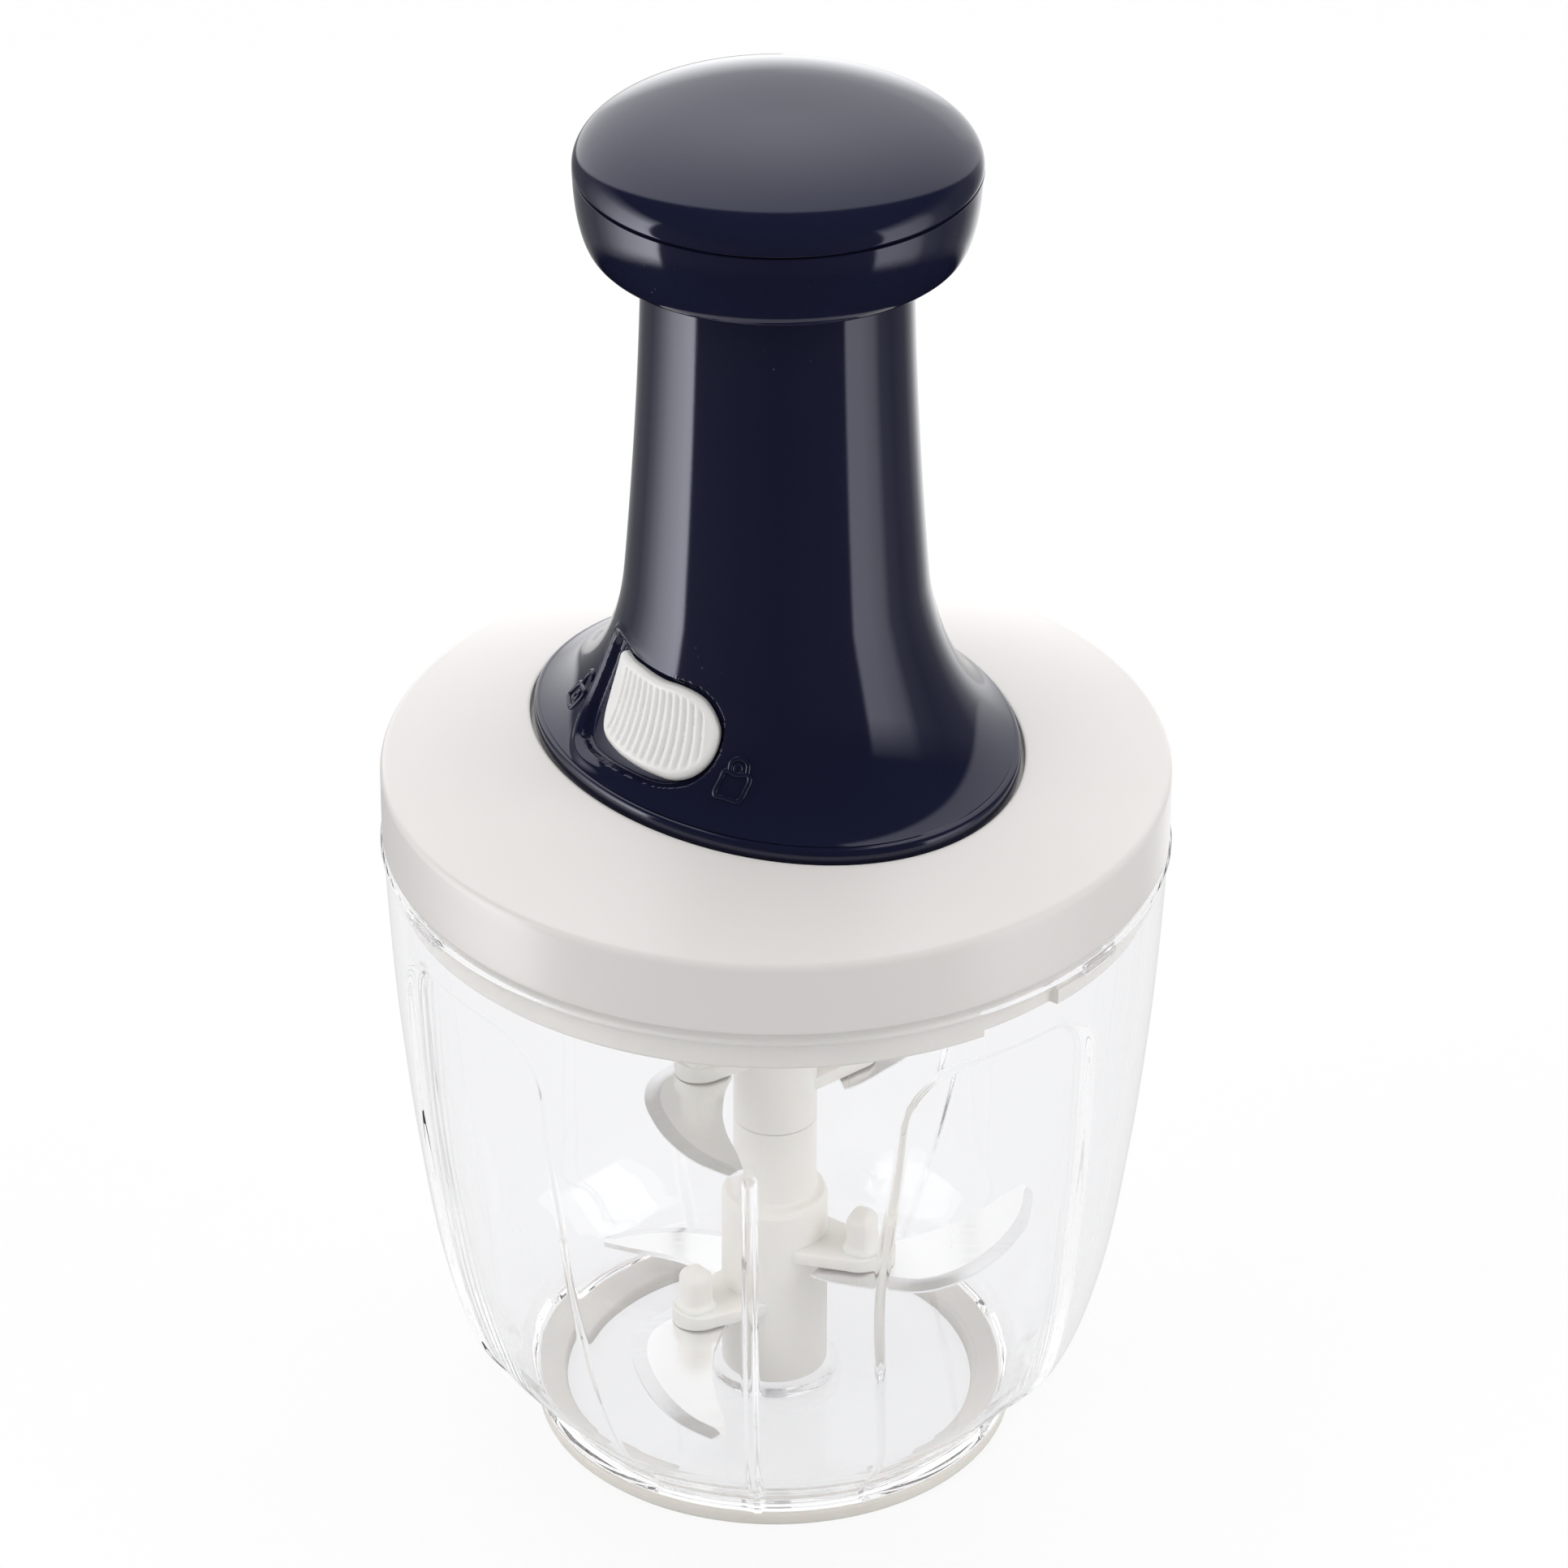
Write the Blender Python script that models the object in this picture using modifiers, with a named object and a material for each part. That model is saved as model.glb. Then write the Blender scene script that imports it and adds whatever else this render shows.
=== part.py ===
"""Plunger food chopper: a clear bowl, a lid with a push handle and a stack of sickle blades.

Every piece is its own object, in metres, +Z up. The origin is the middle of the base.
The handle is modelled pushed down and locked, as it is stored.
"""
import math

import bpy
import bmesh
from mathutils import Vector

# Clearances and shared rules
FIT = 0.0003
RUNNING_GAP = 0.0005
OVERRUN = 0.003
MERGE_DISTANCE = 0.00001
FINE_STEPS = 32
MID_STEPS = 20
TUBE_STEPS = 14
SMALL_STEPS = 8
SCREW_STEPS = 6

# Bowl
BOWL_FOOT_RADIUS = 0.0416
BOWL_RIM_RADIUS = 0.0658
BOWL_HEIGHT = 0.1166
BOWL_WALL = 0.0026
BOWL_FLOOR_TOP = 0.0056
BOWL_SIDE_SHARES = (
    (0.000, 0.000), (0.036, 0.045), (0.066, 0.185), (0.105, 0.350), (0.155, 0.495),
    (0.235, 0.616), (0.365, 0.740), (0.560, 0.858), (0.780, 0.950), (1.000, 1.000),
)
PANEL_COUNT = 4
PANEL_BEARING = math.radians(-54.5)
PANEL_DEPTH = 0.0012
PANEL_DROP = 0.0106
PANEL_BOTTOM = 0.0100
PANEL_TOP_HALF_WIDTH = 0.0215
PANEL_BOTTOM_HALF_WIDTH = 0.0150
PANEL_CORNER = 0.0085
PANEL_LEAN = 0.0036
RIB_BEARING = math.radians(-94.4)
RIB_WIDTH = 0.0020
RIB_PROUD = 0.0008
RIB_DROP = 0.0296
HUB_SEAT_RADIUS = 0.0102
HUB_SEAT_HEIGHT = 0.0016

# Anti-slip ring under the bowl
RING_THICKNESS = 0.0026
RING_WIDTH = 0.0071
RING_INSET = 0.0003
LOCATING_RIB_WIDTH = 0.0024
LOCATING_RIB_LIFT = 0.0008

# Bayonet between bowl and lid
LUG_COUNT = 3
LUG_BEARING = math.radians(-34.5)
LUG_SPAN = math.radians(9.0)
LUG_DEPTH = 0.0012
LUG_HEIGHT = 0.0020
LUG_DROP = 0.0036
LUG_PLAY = math.radians(1.0)
LID_TWIST = math.radians(18.0)
ENTRY_EXTRA = math.radians(4.0)

# Pivot pin in the bowl floor
PIN_RADIUS = 0.00175
PIN_EMBED = 0.0024
PIN_HEIGHT = 0.0150
PIN_NOSE = 0.0014

# Blade stack
LOWER_HUB_RADIUS = 0.0092
LOWER_HUB_SHOULDER = 0.0420
LOWER_HUB_STEP = 0.0030
LOWER_HUB_TOP = 0.0578
TUBE_RADIUS = 0.0066
UPPER_HUB_GAP = 0.0020
SHAFT_ACROSS_FLATS = 0.0060
SHAFT_BOTTOM = 0.0263
PIN_BORE_TOP = 0.0245
ARM_THICKNESS = 0.0030
ARM_REACH = 0.0205
ARM_ROOT_WIDTH = 0.0160
UPPER_ARM_ROOT_WIDTH = 0.0122
ARM_END_WIDTH = 0.0092
PEG_RADIUS = 0.0028
PEG_HEIGHT = 0.0110
PEG_INSET = 0.0039
STAKE_RADIUS = 0.0012
STAKE_HEAD_RADIUS = 0.0021
STAKE_HEAD_HEIGHT = 0.0008
STAKE_DISTANCE = 0.0142
BLADE_THICKNESS = 0.0010
BLADE_BEVEL = 0.0022
BEVEL_TIP_SHARE = 0.25
BLADE_ROOT_INSET = 0.0032
LOWER_BLADE_REACH_SHARES = (0.946, 0.876, 0.909)
UPPER_BLADE_REACH_SHARES = (0.743, 0.681)
LOWER_ARM_BEARINGS = (math.radians(95.0), math.radians(215.0), math.radians(335.0))
LOWER_ARM_HEIGHT_SHARES = (0.242, 0.398, 0.580)
UPPER_ARM_BEARINGS = (math.radians(28.0), math.radians(212.0))
UPPER_ARM_HEIGHT_SHARES = (0.173, 0.411)
CUTTING_EDGE_SHARES = (
    (0.027, -34.0), (0.253, -17.0), (0.440, -9.0), (0.573, 1.0), (0.687, 12.0),
    (0.813, 23.0), (0.927, 33.0), (1.000, 41.5),
)
BACK_EDGE_SHARES = (
    (0.953, 44.5), (0.813, 42.0), (0.547, 34.0), (0.333, 27.5), (0.187, 22.0), (0.073, 18.0),
)

# Lid
LID_OVERHANG = 0.0002
LID_SIDE_HEIGHT = 0.0122
LID_DOME_RISE = 0.0091
LID_WALL = 0.0022
LID_ROUNDING = 0.0016
LID_OPENING_RADIUS = 0.0205
SKIRT_DROP = 0.0086
SKIRT_GAP = 0.0006
SKIRT_WALL = 0.0030
BASE_FLANGE_THICKNESS = 0.0022
BASE_PLATE_DROP = 0.0036
BASE_PLATE_THICKNESS = 0.0022
GASKET_WIDTH = 0.0014
GASKET_HEIGHT = 0.0012
BASE_SCREW_COUNT = 4
BASE_SCREW_INSET = 0.0180
BASE_BOSS_RADIUS = 0.0036

# Screws
SCREW_RADIUS = 0.0013
SCREW_HEAD_RADIUS = 0.0027
SCREW_HEAD_HEIGHT = 0.0015
SCREW_GRIP = 0.0055

# Bearing and clutch
BUSH_BORE_RADIUS = 0.0084
BUSH_WALL = 0.0019
BUSH_LENGTH = 0.0083
BUSH_FLANGE_WIDTH = 0.0012
BUSH_FLANGE_HEIGHT = 0.0013
BEARING_BOSS_WALL = 0.0024
COUPLER_DROP = 0.0130
SOCKET_DEPTH = 0.0103
CLUTCH_RADIUS = 0.0160
CLUTCH_BORE_RADIUS = 0.0080
CLUTCH_DISC_THICKNESS = 0.0033
TOOTH_COUNT = 6
TOOTH_HEIGHT = 0.0016
TOOTH_FALL_SHARE = 0.10
TOOTH_PHASE_GAP = math.radians(1.2)
CLUTCH_SPRING_RADIUS = 0.0152
CLUTCH_SPRING_WIRE = 0.0005
CLUTCH_SPRING_TURNS = 3
PILOT_RADIUS = 0.0046
PILOT_DEPTH = 0.0025
DRIVER_HUB_RADIUS = 0.0075
DRIVER_HUB_HEIGHT = 0.0026
SPINDLE_ACROSS_FLATS = 0.0074
SPINDLE_COLLAR_RADIUS = 0.0100
SPINDLE_COLLAR_HEIGHT = 0.0016
WASHER_RADIUS = 0.0120
WASHER_THICKNESS = 0.0010
HOUSING_WALL = 0.0018
HOUSING_ROOF = 0.0024
HOUSING_HOLE_RADIUS = 0.0064
HOUSING_FLANGE_RADIUS = 0.0262
HOUSING_FLANGE_THICKNESS = 0.0040
HOUSING_SCREW_COUNT = 3
HOUSING_SCREW_INSET = 0.0040

# Spiral spindle and nut
SPINDLE_DROP = 0.0060
SPINDLE_RADIUS = 0.0049
SPINDLE_LOBE = 0.0006
LOBE_POINTS = 4
SPINDLE_STARTS = 3
SPINDLE_LEAD = 0.0300
SPINDLE_LEVEL_STEP = 0.0026
NUT_LIFT = 0.0057
NUT_FLANGE_HEIGHT = 0.0025
NUT_HEIGHT = 0.0100
NUT_PLAY = 0.0007
NUT_TUBE_RADIUS = 0.0095
NUT_TUBE_WALL = 0.0019
NUT_TUBE_FLANGE_WIDTH = 0.0035

# Column
COLUMN_HEIGHT = 0.0898
COLUMN_TOP_RADIUS = 0.0220
COLUMN_FLARE_DROP = 0.0630
COLUMN_FLARE_RADIUS = 0.0251
COLUMN_TAPER_SHARE = 1.7
COLUMN_WALL = 0.0019
FLANGE_HALF_LENGTH = 0.0450
FLANGE_HALF_WIDTH = 0.0375
FLANGE_BEARING = math.radians(-52.0)
FLANGE_LIP = 0.0013
FLARE_END_ANGLE = math.radians(76.0)
COLUMN_SCREW_PLACE = 0.0290
COLUMN_SCREW_TURN = math.radians(35.0)
COLUMN_BOSS_RADIUS = 0.0031
COLUMN_BOSS_HEIGHT = 0.0052
GUIDE_BUSH_LENGTH = 0.0140
GUIDE_BUSH_FLANGE = 0.0012

# Plunger
PLUNGER_TRAVEL = 0.0500
PLUNGER_TUBE_RADIUS = 0.0182
PLUNGER_TUBE_WALL = 0.0018
PLUNGER_TUBE_LIFT = 0.0117
STOP_RIB_HEIGHT = 0.0020
STOP_RIB_WIDTH = 0.0010
CARRIER_LIFT = 0.0040
CARRIER_RADIUS = 0.0285
CARRIER_THICKNESS = 0.0020
SPRING_RADIUS = 0.0130
SPRING_WIRE = 0.0008
SPRING_TURNS = 8
CURL_POINTS = 8

# Knob
KNOB_RADIUS = 0.0332
KNOB_CAP_HEIGHT = 0.0099
KNOB_POWER = 3.2
KNOB_WALL = 0.0021
KNOB_SEAM_GAP = 0.0006
KNOB_OVERLAP = 0.0032
KNOB_CUP_HEIGHT = 0.0131
KNOB_UNDERSIDE_RADIUS = 0.0296
KNOB_OPENING_RADIUS = 0.0229
KNOB_CUP_SIDE_SHARES = ((0.00, 0.00), (0.10, 0.36), (0.30, 0.66), (0.55, 0.86), (0.80, 0.96), (1.00, 1.00))
CAP_LIP_DEPTH = 0.0034
CAP_LIP_WALL = 0.0011
KNOB_SCREW_COUNT = 3
KNOB_SCREW_PLACE = 0.0256
KNOB_BOSS_RADIUS = 0.0030

# Lock slider
LOCK_BEARING = math.radians(228.0)
LOCK_LIFT = 0.0103
LOCK_HALF_WIDTH = 0.0117
LOCK_HALF_HEIGHT = 0.0078
LOCK_CORNER = 0.0052
LOCK_ELEVATION = math.radians(24.0)
LOCK_PROUD = 0.0009
LOCK_DEPTH = 0.0006
LOCK_TRAVEL = math.radians(8.0)
LOCK_SWING_RADIUS = 0.0350
LOCK_POCKET_GAP = 0.0006
LOCK_PLAY = math.radians(1.0)
LOCK_STEM_SPAN = math.radians(8.0)
LOCK_STEM_HEIGHT = 0.0030
LOCK_BOLT_SPAN = math.radians(18.0)
LOCK_BOLT_HEIGHT = 0.0034
LOCK_BOLT_WIDTH = 0.0032

# Sizes worked out from those above
PANEL_TOP = BOWL_HEIGHT - PANEL_DROP
RIB_TOP = BOWL_HEIGHT - RIB_DROP
RING_OUTER_RADIUS = BOWL_FOOT_RADIUS - RING_INSET
RING_INNER_RADIUS = RING_OUTER_RADIUS - RING_WIDTH
BLADE_ROOT = STAKE_DISTANCE - BLADE_ROOT_INSET
LID_RADIUS = BOWL_RIM_RADIUS + LID_OVERHANG
LID_EDGE = BOWL_HEIGHT + FIT
LID_SHOULDER = LID_EDGE + LID_SIDE_HEIGHT
LID_CROWN = LID_SHOULDER + LID_DOME_RISE
SKIRT_BOTTOM = BOWL_HEIGHT - SKIRT_DROP
BASE_PLATE_BOTTOM = BOWL_HEIGHT - BASE_PLATE_DROP
BASE_SCREW_PLACE = LID_RADIUS - BASE_SCREW_INSET
COUPLER_BOTTOM = BASE_PLATE_BOTTOM - COUPLER_DROP
UPPER_HUB_TOP = COUPLER_BOTTOM - UPPER_HUB_GAP
UPPER_HUB_BOTTOM = LOWER_HUB_TOP + FIT
LOWER_ARM_HEIGHTS = [LOWER_HUB_TOP * share for share in LOWER_ARM_HEIGHT_SHARES]
UPPER_ARM_HEIGHTS = [UPPER_HUB_BOTTOM + (UPPER_HUB_TOP - UPPER_HUB_BOTTOM) * share
                     for share in UPPER_ARM_HEIGHT_SHARES]
SHAFT_TOP = COUPLER_BOTTOM + SOCKET_DEPTH - 2 * FIT
COLUMN_TOP = LID_CROWN + COLUMN_HEIGHT
COLUMN_FLARE_TOP = COLUMN_TOP - COLUMN_FLARE_DROP
SPINDLE_TOP = COLUMN_TOP - SPINDLE_DROP
CARRIER_BOTTOM = COLUMN_TOP + CARRIER_LIFT
KNOB_UNDERSIDE = COLUMN_TOP - KNOB_OVERLAP
KNOB_SEAM = KNOB_UNDERSIDE + KNOB_CUP_HEIGHT
KNOB_CROWN = KNOB_SEAM + KNOB_CAP_HEIGHT
LOCK_HEIGHT = LID_CROWN + LOCK_LIFT
BOWL_FOOT_BOTTOM = RING_THICKNESS + FIT
HUB_SEAT_TOP = BOWL_FLOOR_TOP + HUB_SEAT_HEIGHT
LOWER_HUB_BOTTOM = HUB_SEAT_TOP + FIT
BASE_PLATE_TOP = BASE_PLATE_BOTTOM + BASE_PLATE_THICKNESS
BUSH_RADIUS = BUSH_BORE_RADIUS + BUSH_WALL
BUSH_BOTTOM = BASE_PLATE_BOTTOM - FIT
BUSH_TOP = BUSH_BOTTOM + BUSH_LENGTH
BEARING_BOSS_TOP = BUSH_TOP - 2 * FIT
COUPLER_RADIUS = BUSH_BORE_RADIUS - RUNNING_GAP
COUPLER_DISC_BOTTOM = BUSH_TOP + FIT
COUPLER_DISC_TOP = COUPLER_DISC_BOTTOM + CLUTCH_DISC_THICKNESS
DRIVER_DISC_BOTTOM = COUPLER_DISC_TOP + TOOTH_HEIGHT + FIT
DRIVER_DISC_TOP = DRIVER_DISC_BOTTOM + CLUTCH_DISC_THICKNESS
DRIVER_HUB_TOP = DRIVER_DISC_TOP + DRIVER_HUB_HEIGHT
SPINDLE_COLLAR_BOTTOM = DRIVER_HUB_TOP + FIT
SPINDLE_COLLAR_TOP = SPINDLE_COLLAR_BOTTOM + SPINDLE_COLLAR_HEIGHT
WASHER_BOTTOM = SPINDLE_COLLAR_TOP + FIT
WASHER_TOP = WASHER_BOTTOM + WASHER_THICKNESS
HOUSING_BORE_RADIUS = CLUTCH_RADIUS + 2 * RUNNING_GAP
HOUSING_RADIUS = HOUSING_BORE_RADIUS + HOUSING_WALL
HOUSING_ROOF_BOTTOM = WASHER_TOP + FIT
HOUSING_TOP = HOUSING_ROOF_BOTTOM + HOUSING_ROOF
NUT_BOTTOM = HOUSING_TOP + NUT_LIFT
PLUNGER_TUBE_BOTTOM = HOUSING_TOP + PLUNGER_TUBE_LIFT
CARRIER_TOP = CARRIER_BOTTOM + CARRIER_THICKNESS
GUIDE_BUSH_BOTTOM = COLUMN_TOP + FIT - GUIDE_BUSH_LENGTH
STOP_RIB_TOP = GUIDE_BUSH_BOTTOM - PLUNGER_TRAVEL - FIT

# Colours as linear values, roughness and metallic
NAVY = ((0.0110, 0.0137, 0.0423), 0.18, 0.0)
WHITE = ((0.78, 0.77, 0.75), 0.28, 0.0)
CREAM = ((0.70, 0.63, 0.54), 0.60, 0.0)
CLEAR = ((0.90, 0.93, 0.95), 0.05, 0.0)
STEEL = ((0.60, 0.60, 0.60), 0.30, 1.0)
ACETAL = ((0.82, 0.81, 0.78), 0.40, 0.0)


def clear_scene():
    """Remove every object that the file starts with."""
    for item in list(bpy.data.objects):
        bpy.data.objects.remove(item, do_unlink=True)


def collection(name):
    """Make a collection under the scene."""
    made = bpy.data.collections.new(name)
    bpy.context.scene.collection.children.link(made)
    return made


clear_scene()
PARTS = collection("plunger_food_chopper")
CUTTERS = collection("cutters")


def material(name, finish, transmission=0.0):
    """Make a Principled material from a colour, a roughness and a metallic value."""
    colour, roughness, metallic = finish
    made = bpy.data.materials.new(name)
    made.use_nodes = True
    shader = made.node_tree.nodes["Principled BSDF"]
    shader.inputs["Base Color"].default_value = (*colour, 1.0)
    shader.inputs["Roughness"].default_value = roughness
    shader.inputs["Metallic"].default_value = metallic
    shader.inputs["Transmission Weight"].default_value = transmission
    return made


def polar(radius, angle):
    """Turn a radius and an angle into x and y."""
    return (radius * math.cos(angle), radius * math.sin(angle))


def add_mesh(name, points, edges, faces):
    """Link an object made from points, edges and faces."""
    mesh = bpy.data.meshes.new(name)
    mesh.from_pydata([Vector(point) for point in points], edges, faces)
    made = bpy.data.objects.new(name, mesh)
    PARTS.objects.link(made)
    return made


def turned(name, profile, steps, ring=False, place=(0.0, 0.0)):
    """Turn a profile of (radius, height) about a vertical axis.

    A ring's profile runs down the outside and back up the inside. Any other profile
    starts and ends on the axis and runs down its outside.
    """
    edges = [(index, index + 1) for index in range(len(profile) - 1)]
    if ring:
        edges.append((len(profile) - 1, 0))
    made = add_mesh(name, [(radius, 0.0, height) for radius, height in profile], edges, [])
    made.location = (*place, 0.0)
    turn = made.modifiers.new("turn", 'SCREW')
    turn.steps = steps
    turn.render_steps = steps
    turn.use_merge_vertices = True
    turn.merge_threshold = MERGE_DISTANCE
    turn.use_smooth_shade = True
    return made


def disc(name, radius, bottom, top, steps, place=(0.0, 0.0)):
    """Turn a plain cylinder between two heights."""
    return turned(name, ((0.0, top), (radius, top), (radius, bottom), (0.0, bottom)), steps, False, place)


def tube(name, outer, inner, bottom, top, steps):
    """Turn a plain tube between two heights."""
    return turned(name, ((outer, top), (outer, bottom), (inner, bottom), (inner, top)), steps, True)


def loft(name, rings, wrap=False):
    """Join rings of equal count, lowest first and each anticlockwise, with caps unless it wraps."""
    count = len(rings[0])
    points = [point for ring in rings for point in ring]
    faces = []
    spans = len(rings) if wrap else len(rings) - 1
    for level in range(spans):
        low = level * count
        high = ((level + 1) % len(rings)) * count
        for index in range(count):
            following = (index + 1) % count
            faces.append((low + index, low + following, high + following, high + index))
    if not wrap:
        top = (len(rings) - 1) * count
        faces.append(tuple(reversed(range(count))))
        faces.append(tuple(range(top, top + count)))
    return add_mesh(name, points, [], faces)


def plate(name, outline, bottom, top):
    """Raise a flat anticlockwise outline between two heights."""
    curve = bpy.data.curves.new(name, 'CURVE')
    curve.dimensions = '2D'
    curve.fill_mode = 'BOTH'
    curve.extrude = (top - bottom) / 2
    spline = curve.splines.new('POLY')
    spline.points.add(len(outline) - 1)
    for point, (across, along) in zip(spline.points, outline):
        point.co = (across, along, 0.0, 1.0)
    spline.use_cyclic_u = True
    guide = bpy.data.objects.new(name, curve)
    PARTS.objects.link(guide)
    guide.location = (0.0, 0.0, (top + bottom) / 2)
    return as_mesh(guide)


def as_mesh(guide):
    """Swap a curve object for the closed mesh that it draws."""
    bpy.context.view_layer.update()
    graph = bpy.context.evaluated_depsgraph_get()
    mesh = bpy.data.meshes.new_from_object(guide.evaluated_get(graph))
    work = bmesh.new()
    work.from_mesh(mesh)
    bmesh.ops.remove_doubles(work, verts=work.verts, dist=MERGE_DISTANCE)
    bmesh.ops.recalc_face_normals(work, faces=work.faces)
    work.to_mesh(mesh)
    work.free()
    name = guide.name
    place = guide.matrix_world.copy()
    bpy.data.objects.remove(guide, do_unlink=True)
    made = bpy.data.objects.new(name, mesh)
    made.matrix_world = place
    PARTS.objects.link(made)
    return made


def hide_tool(tool):
    """Move a cutter or a joined shape to the cutters' collection."""
    if tool.name in PARTS.objects:
        PARTS.objects.unlink(tool)
        CUTTERS.objects.link(tool)
    tool.hide_render = True
    tool.display_type = 'WIRE'


def combine(body, tool, operation):
    """Add an exact Boolean and hide its tool."""
    step = body.modifiers.new(tool.name, 'BOOLEAN')
    step.operation = operation
    step.solver = 'EXACT'
    step.object = tool
    hide_tool(tool)
    return body


def cut(body, *tools):
    """Take shapes away from a body."""
    for tool in tools:
        combine(body, tool, 'DIFFERENCE')
    return body


def fuse(body, *tools):
    """Add shapes to a body."""
    for tool in tools:
        combine(body, tool, 'UNION')
    return body


def finish(body, made_of):
    """Give a body its material and its smooth shading."""
    body.data.materials.append(made_of)
    body.data.shade_smooth()
    return body


def sector(inner, outer, start, end, steps=6):
    """Outline a piece of a flat ring between two angles."""
    angles = [start + (end - start) * index / steps for index in range(steps + 1)]
    outside = [polar(outer, angle) for angle in angles]
    inside = [polar(inner, angle) for angle in reversed(angles)]
    return outside + inside


def polygon(radius, sides, turn=0.0):
    """Outline a regular polygon by its corner radius."""
    return [polar(radius, turn + math.tau * index / sides) for index in range(sides)]


def hexagon(across_flats):
    """Outline a hexagon by the distance between its flats."""
    return polygon(across_flats / 2 / math.cos(math.pi / 6), 6)


def rounded_outline(corners, radius, arc_steps=4):
    """Round each corner of a convex anticlockwise outline by an arc."""
    made = []
    count = len(corners)
    for index, corner in enumerate(corners):
        here = Vector(corner)
        back = (Vector(corners[index - 1]) - here).normalized()
        ahead = (Vector(corners[(index + 1) % count]) - here).normalized()
        half = back.angle(ahead) / 2
        centre = here + (back + ahead).normalized() * (radius / math.sin(half))
        reach = radius / math.tan(half)
        start = here + back * reach - centre
        sweep = math.pi - 2 * half
        for step in range(arc_steps + 1):
            angle = math.atan2(start.y, start.x) + sweep * step / arc_steps
            made.append((centre.x + radius * math.cos(angle), centre.y + radius * math.sin(angle)))
    return made


def curve_through(points, steps):
    """Run a smooth curve through points, with the same number of steps in each span."""
    made = []
    last = len(points) - 1
    for index in range(last):
        before = Vector(points[max(index - 1, 0)])
        start = Vector(points[index])
        end = Vector(points[index + 1])
        after = Vector(points[min(index + 2, last)])
        for step in range(steps):
            share = step / steps
            slope_in = (end - before) / 2
            slope_out = (after - start) / 2
            a = 2 * share ** 3 - 3 * share ** 2 + 1
            b = share ** 3 - 2 * share ** 2 + share
            c = 3 * share ** 2 - 2 * share ** 3
            d = share ** 3 - share ** 2
            made.append(tuple(start * a + slope_in * b + end * c + slope_out * d))
    made.append(tuple(points[-1]))
    return made


def offset_profile(points, distance):
    """Move each point of a profile square to its own side."""
    made = []
    last = len(points) - 1
    for index, (across, up) in enumerate(points):
        before = points[max(index - 1, 0)]
        after = points[min(index + 1, last)]
        run = Vector((after[0] - before[0], after[1] - before[1])).normalized()
        made.append((across - run.y * distance, up + run.x * distance))
    return made


def arc(centre_radius, centre_height, radius, start, end, steps=3):
    """Points of (radius, height) on an arc between two angles."""
    angles = [start + (end - start) * index / steps for index in range(steps + 1)]
    return [(centre_radius + radius * math.cos(a), centre_height + radius * math.sin(a)) for a in angles]


def screw(name, place, seat, made_of):
    """A pan head screw that enters upwards, with the top of its head at its seat."""
    head = seat - SCREW_HEAD_HEIGHT
    profile = (
        (0.0, seat + SCREW_GRIP), (SCREW_RADIUS, seat + SCREW_GRIP - SCREW_RADIUS), (SCREW_RADIUS, seat),
        (SCREW_HEAD_RADIUS, seat), (SCREW_RADIUS, head), (0.0, head),
    )
    return finish(turned(name, profile, SCREW_STEPS, False, place), made_of)


def screw_hole(name, place, bottom, top):
    """A clearance hole for a screw between two heights."""
    return disc(name, SCREW_RADIUS + FIT, bottom, top, SCREW_STEPS, place)


def around(count, radius, turn=0.0):
    """Places spread evenly on a circle."""
    return [polar(radius, turn + math.tau * index / count) for index in range(count)]


# Bowl


def bowl_radius(height):
    """Outer radius of the bowl's side at a height."""
    points = bowl_side()
    for (low_radius, low), (high_radius, high) in zip(points, points[1:]):
        if height <= high:
            share = (height - low) / (high - low)
            return low_radius + share * (high_radius - low_radius)
    return BOWL_RIM_RADIUS


def bowl_side():
    """Points of (radius, height) up the bowl's outer side."""
    swell = BOWL_RIM_RADIUS - BOWL_FOOT_RADIUS
    rise = BOWL_HEIGHT - BOWL_FOOT_BOTTOM
    return [(BOWL_FOOT_RADIUS + swell * out, BOWL_FOOT_BOTTOM + rise * up) for up, out in BOWL_SIDE_SHARES]


def bowl_inner_radius(height):
    """Inner radius of the bowl's wall at a height, with the wall measured level."""
    return bowl_radius(height) - BOWL_WALL


def bowl_skin(name, outside, inside):
    """A turned skin that follows the bowl's side between two offsets from it."""
    side = bowl_side()
    outer = [(radius + outside, height) for radius, height in reversed(side)]
    inner = [(radius - inside, height) for radius, height in side]
    return turned(name, outer + inner, FINE_STEPS, True)


def facing_prism(name, outline, bearing, near, far):
    """Raise an upright outline of (across, up) outwards along a bearing."""
    prism = plate(name, outline, near, far)
    prism.rotation_euler = (math.pi / 2, 0.0, bearing + math.pi / 2)
    prism.location = (*polar((near + far) / 2, bearing), 0.0)
    return prism


def panel_outline():
    """The upright outline of one recessed panel, which leans a little to one side at its foot."""
    corners = (
        (PANEL_LEAN - PANEL_BOTTOM_HALF_WIDTH, PANEL_BOTTOM),
        (PANEL_LEAN + PANEL_BOTTOM_HALF_WIDTH, PANEL_BOTTOM),
        (PANEL_TOP_HALF_WIDTH, PANEL_TOP), (-PANEL_TOP_HALF_WIDTH, PANEL_TOP),
    )
    return rounded_outline(corners, PANEL_CORNER)


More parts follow.
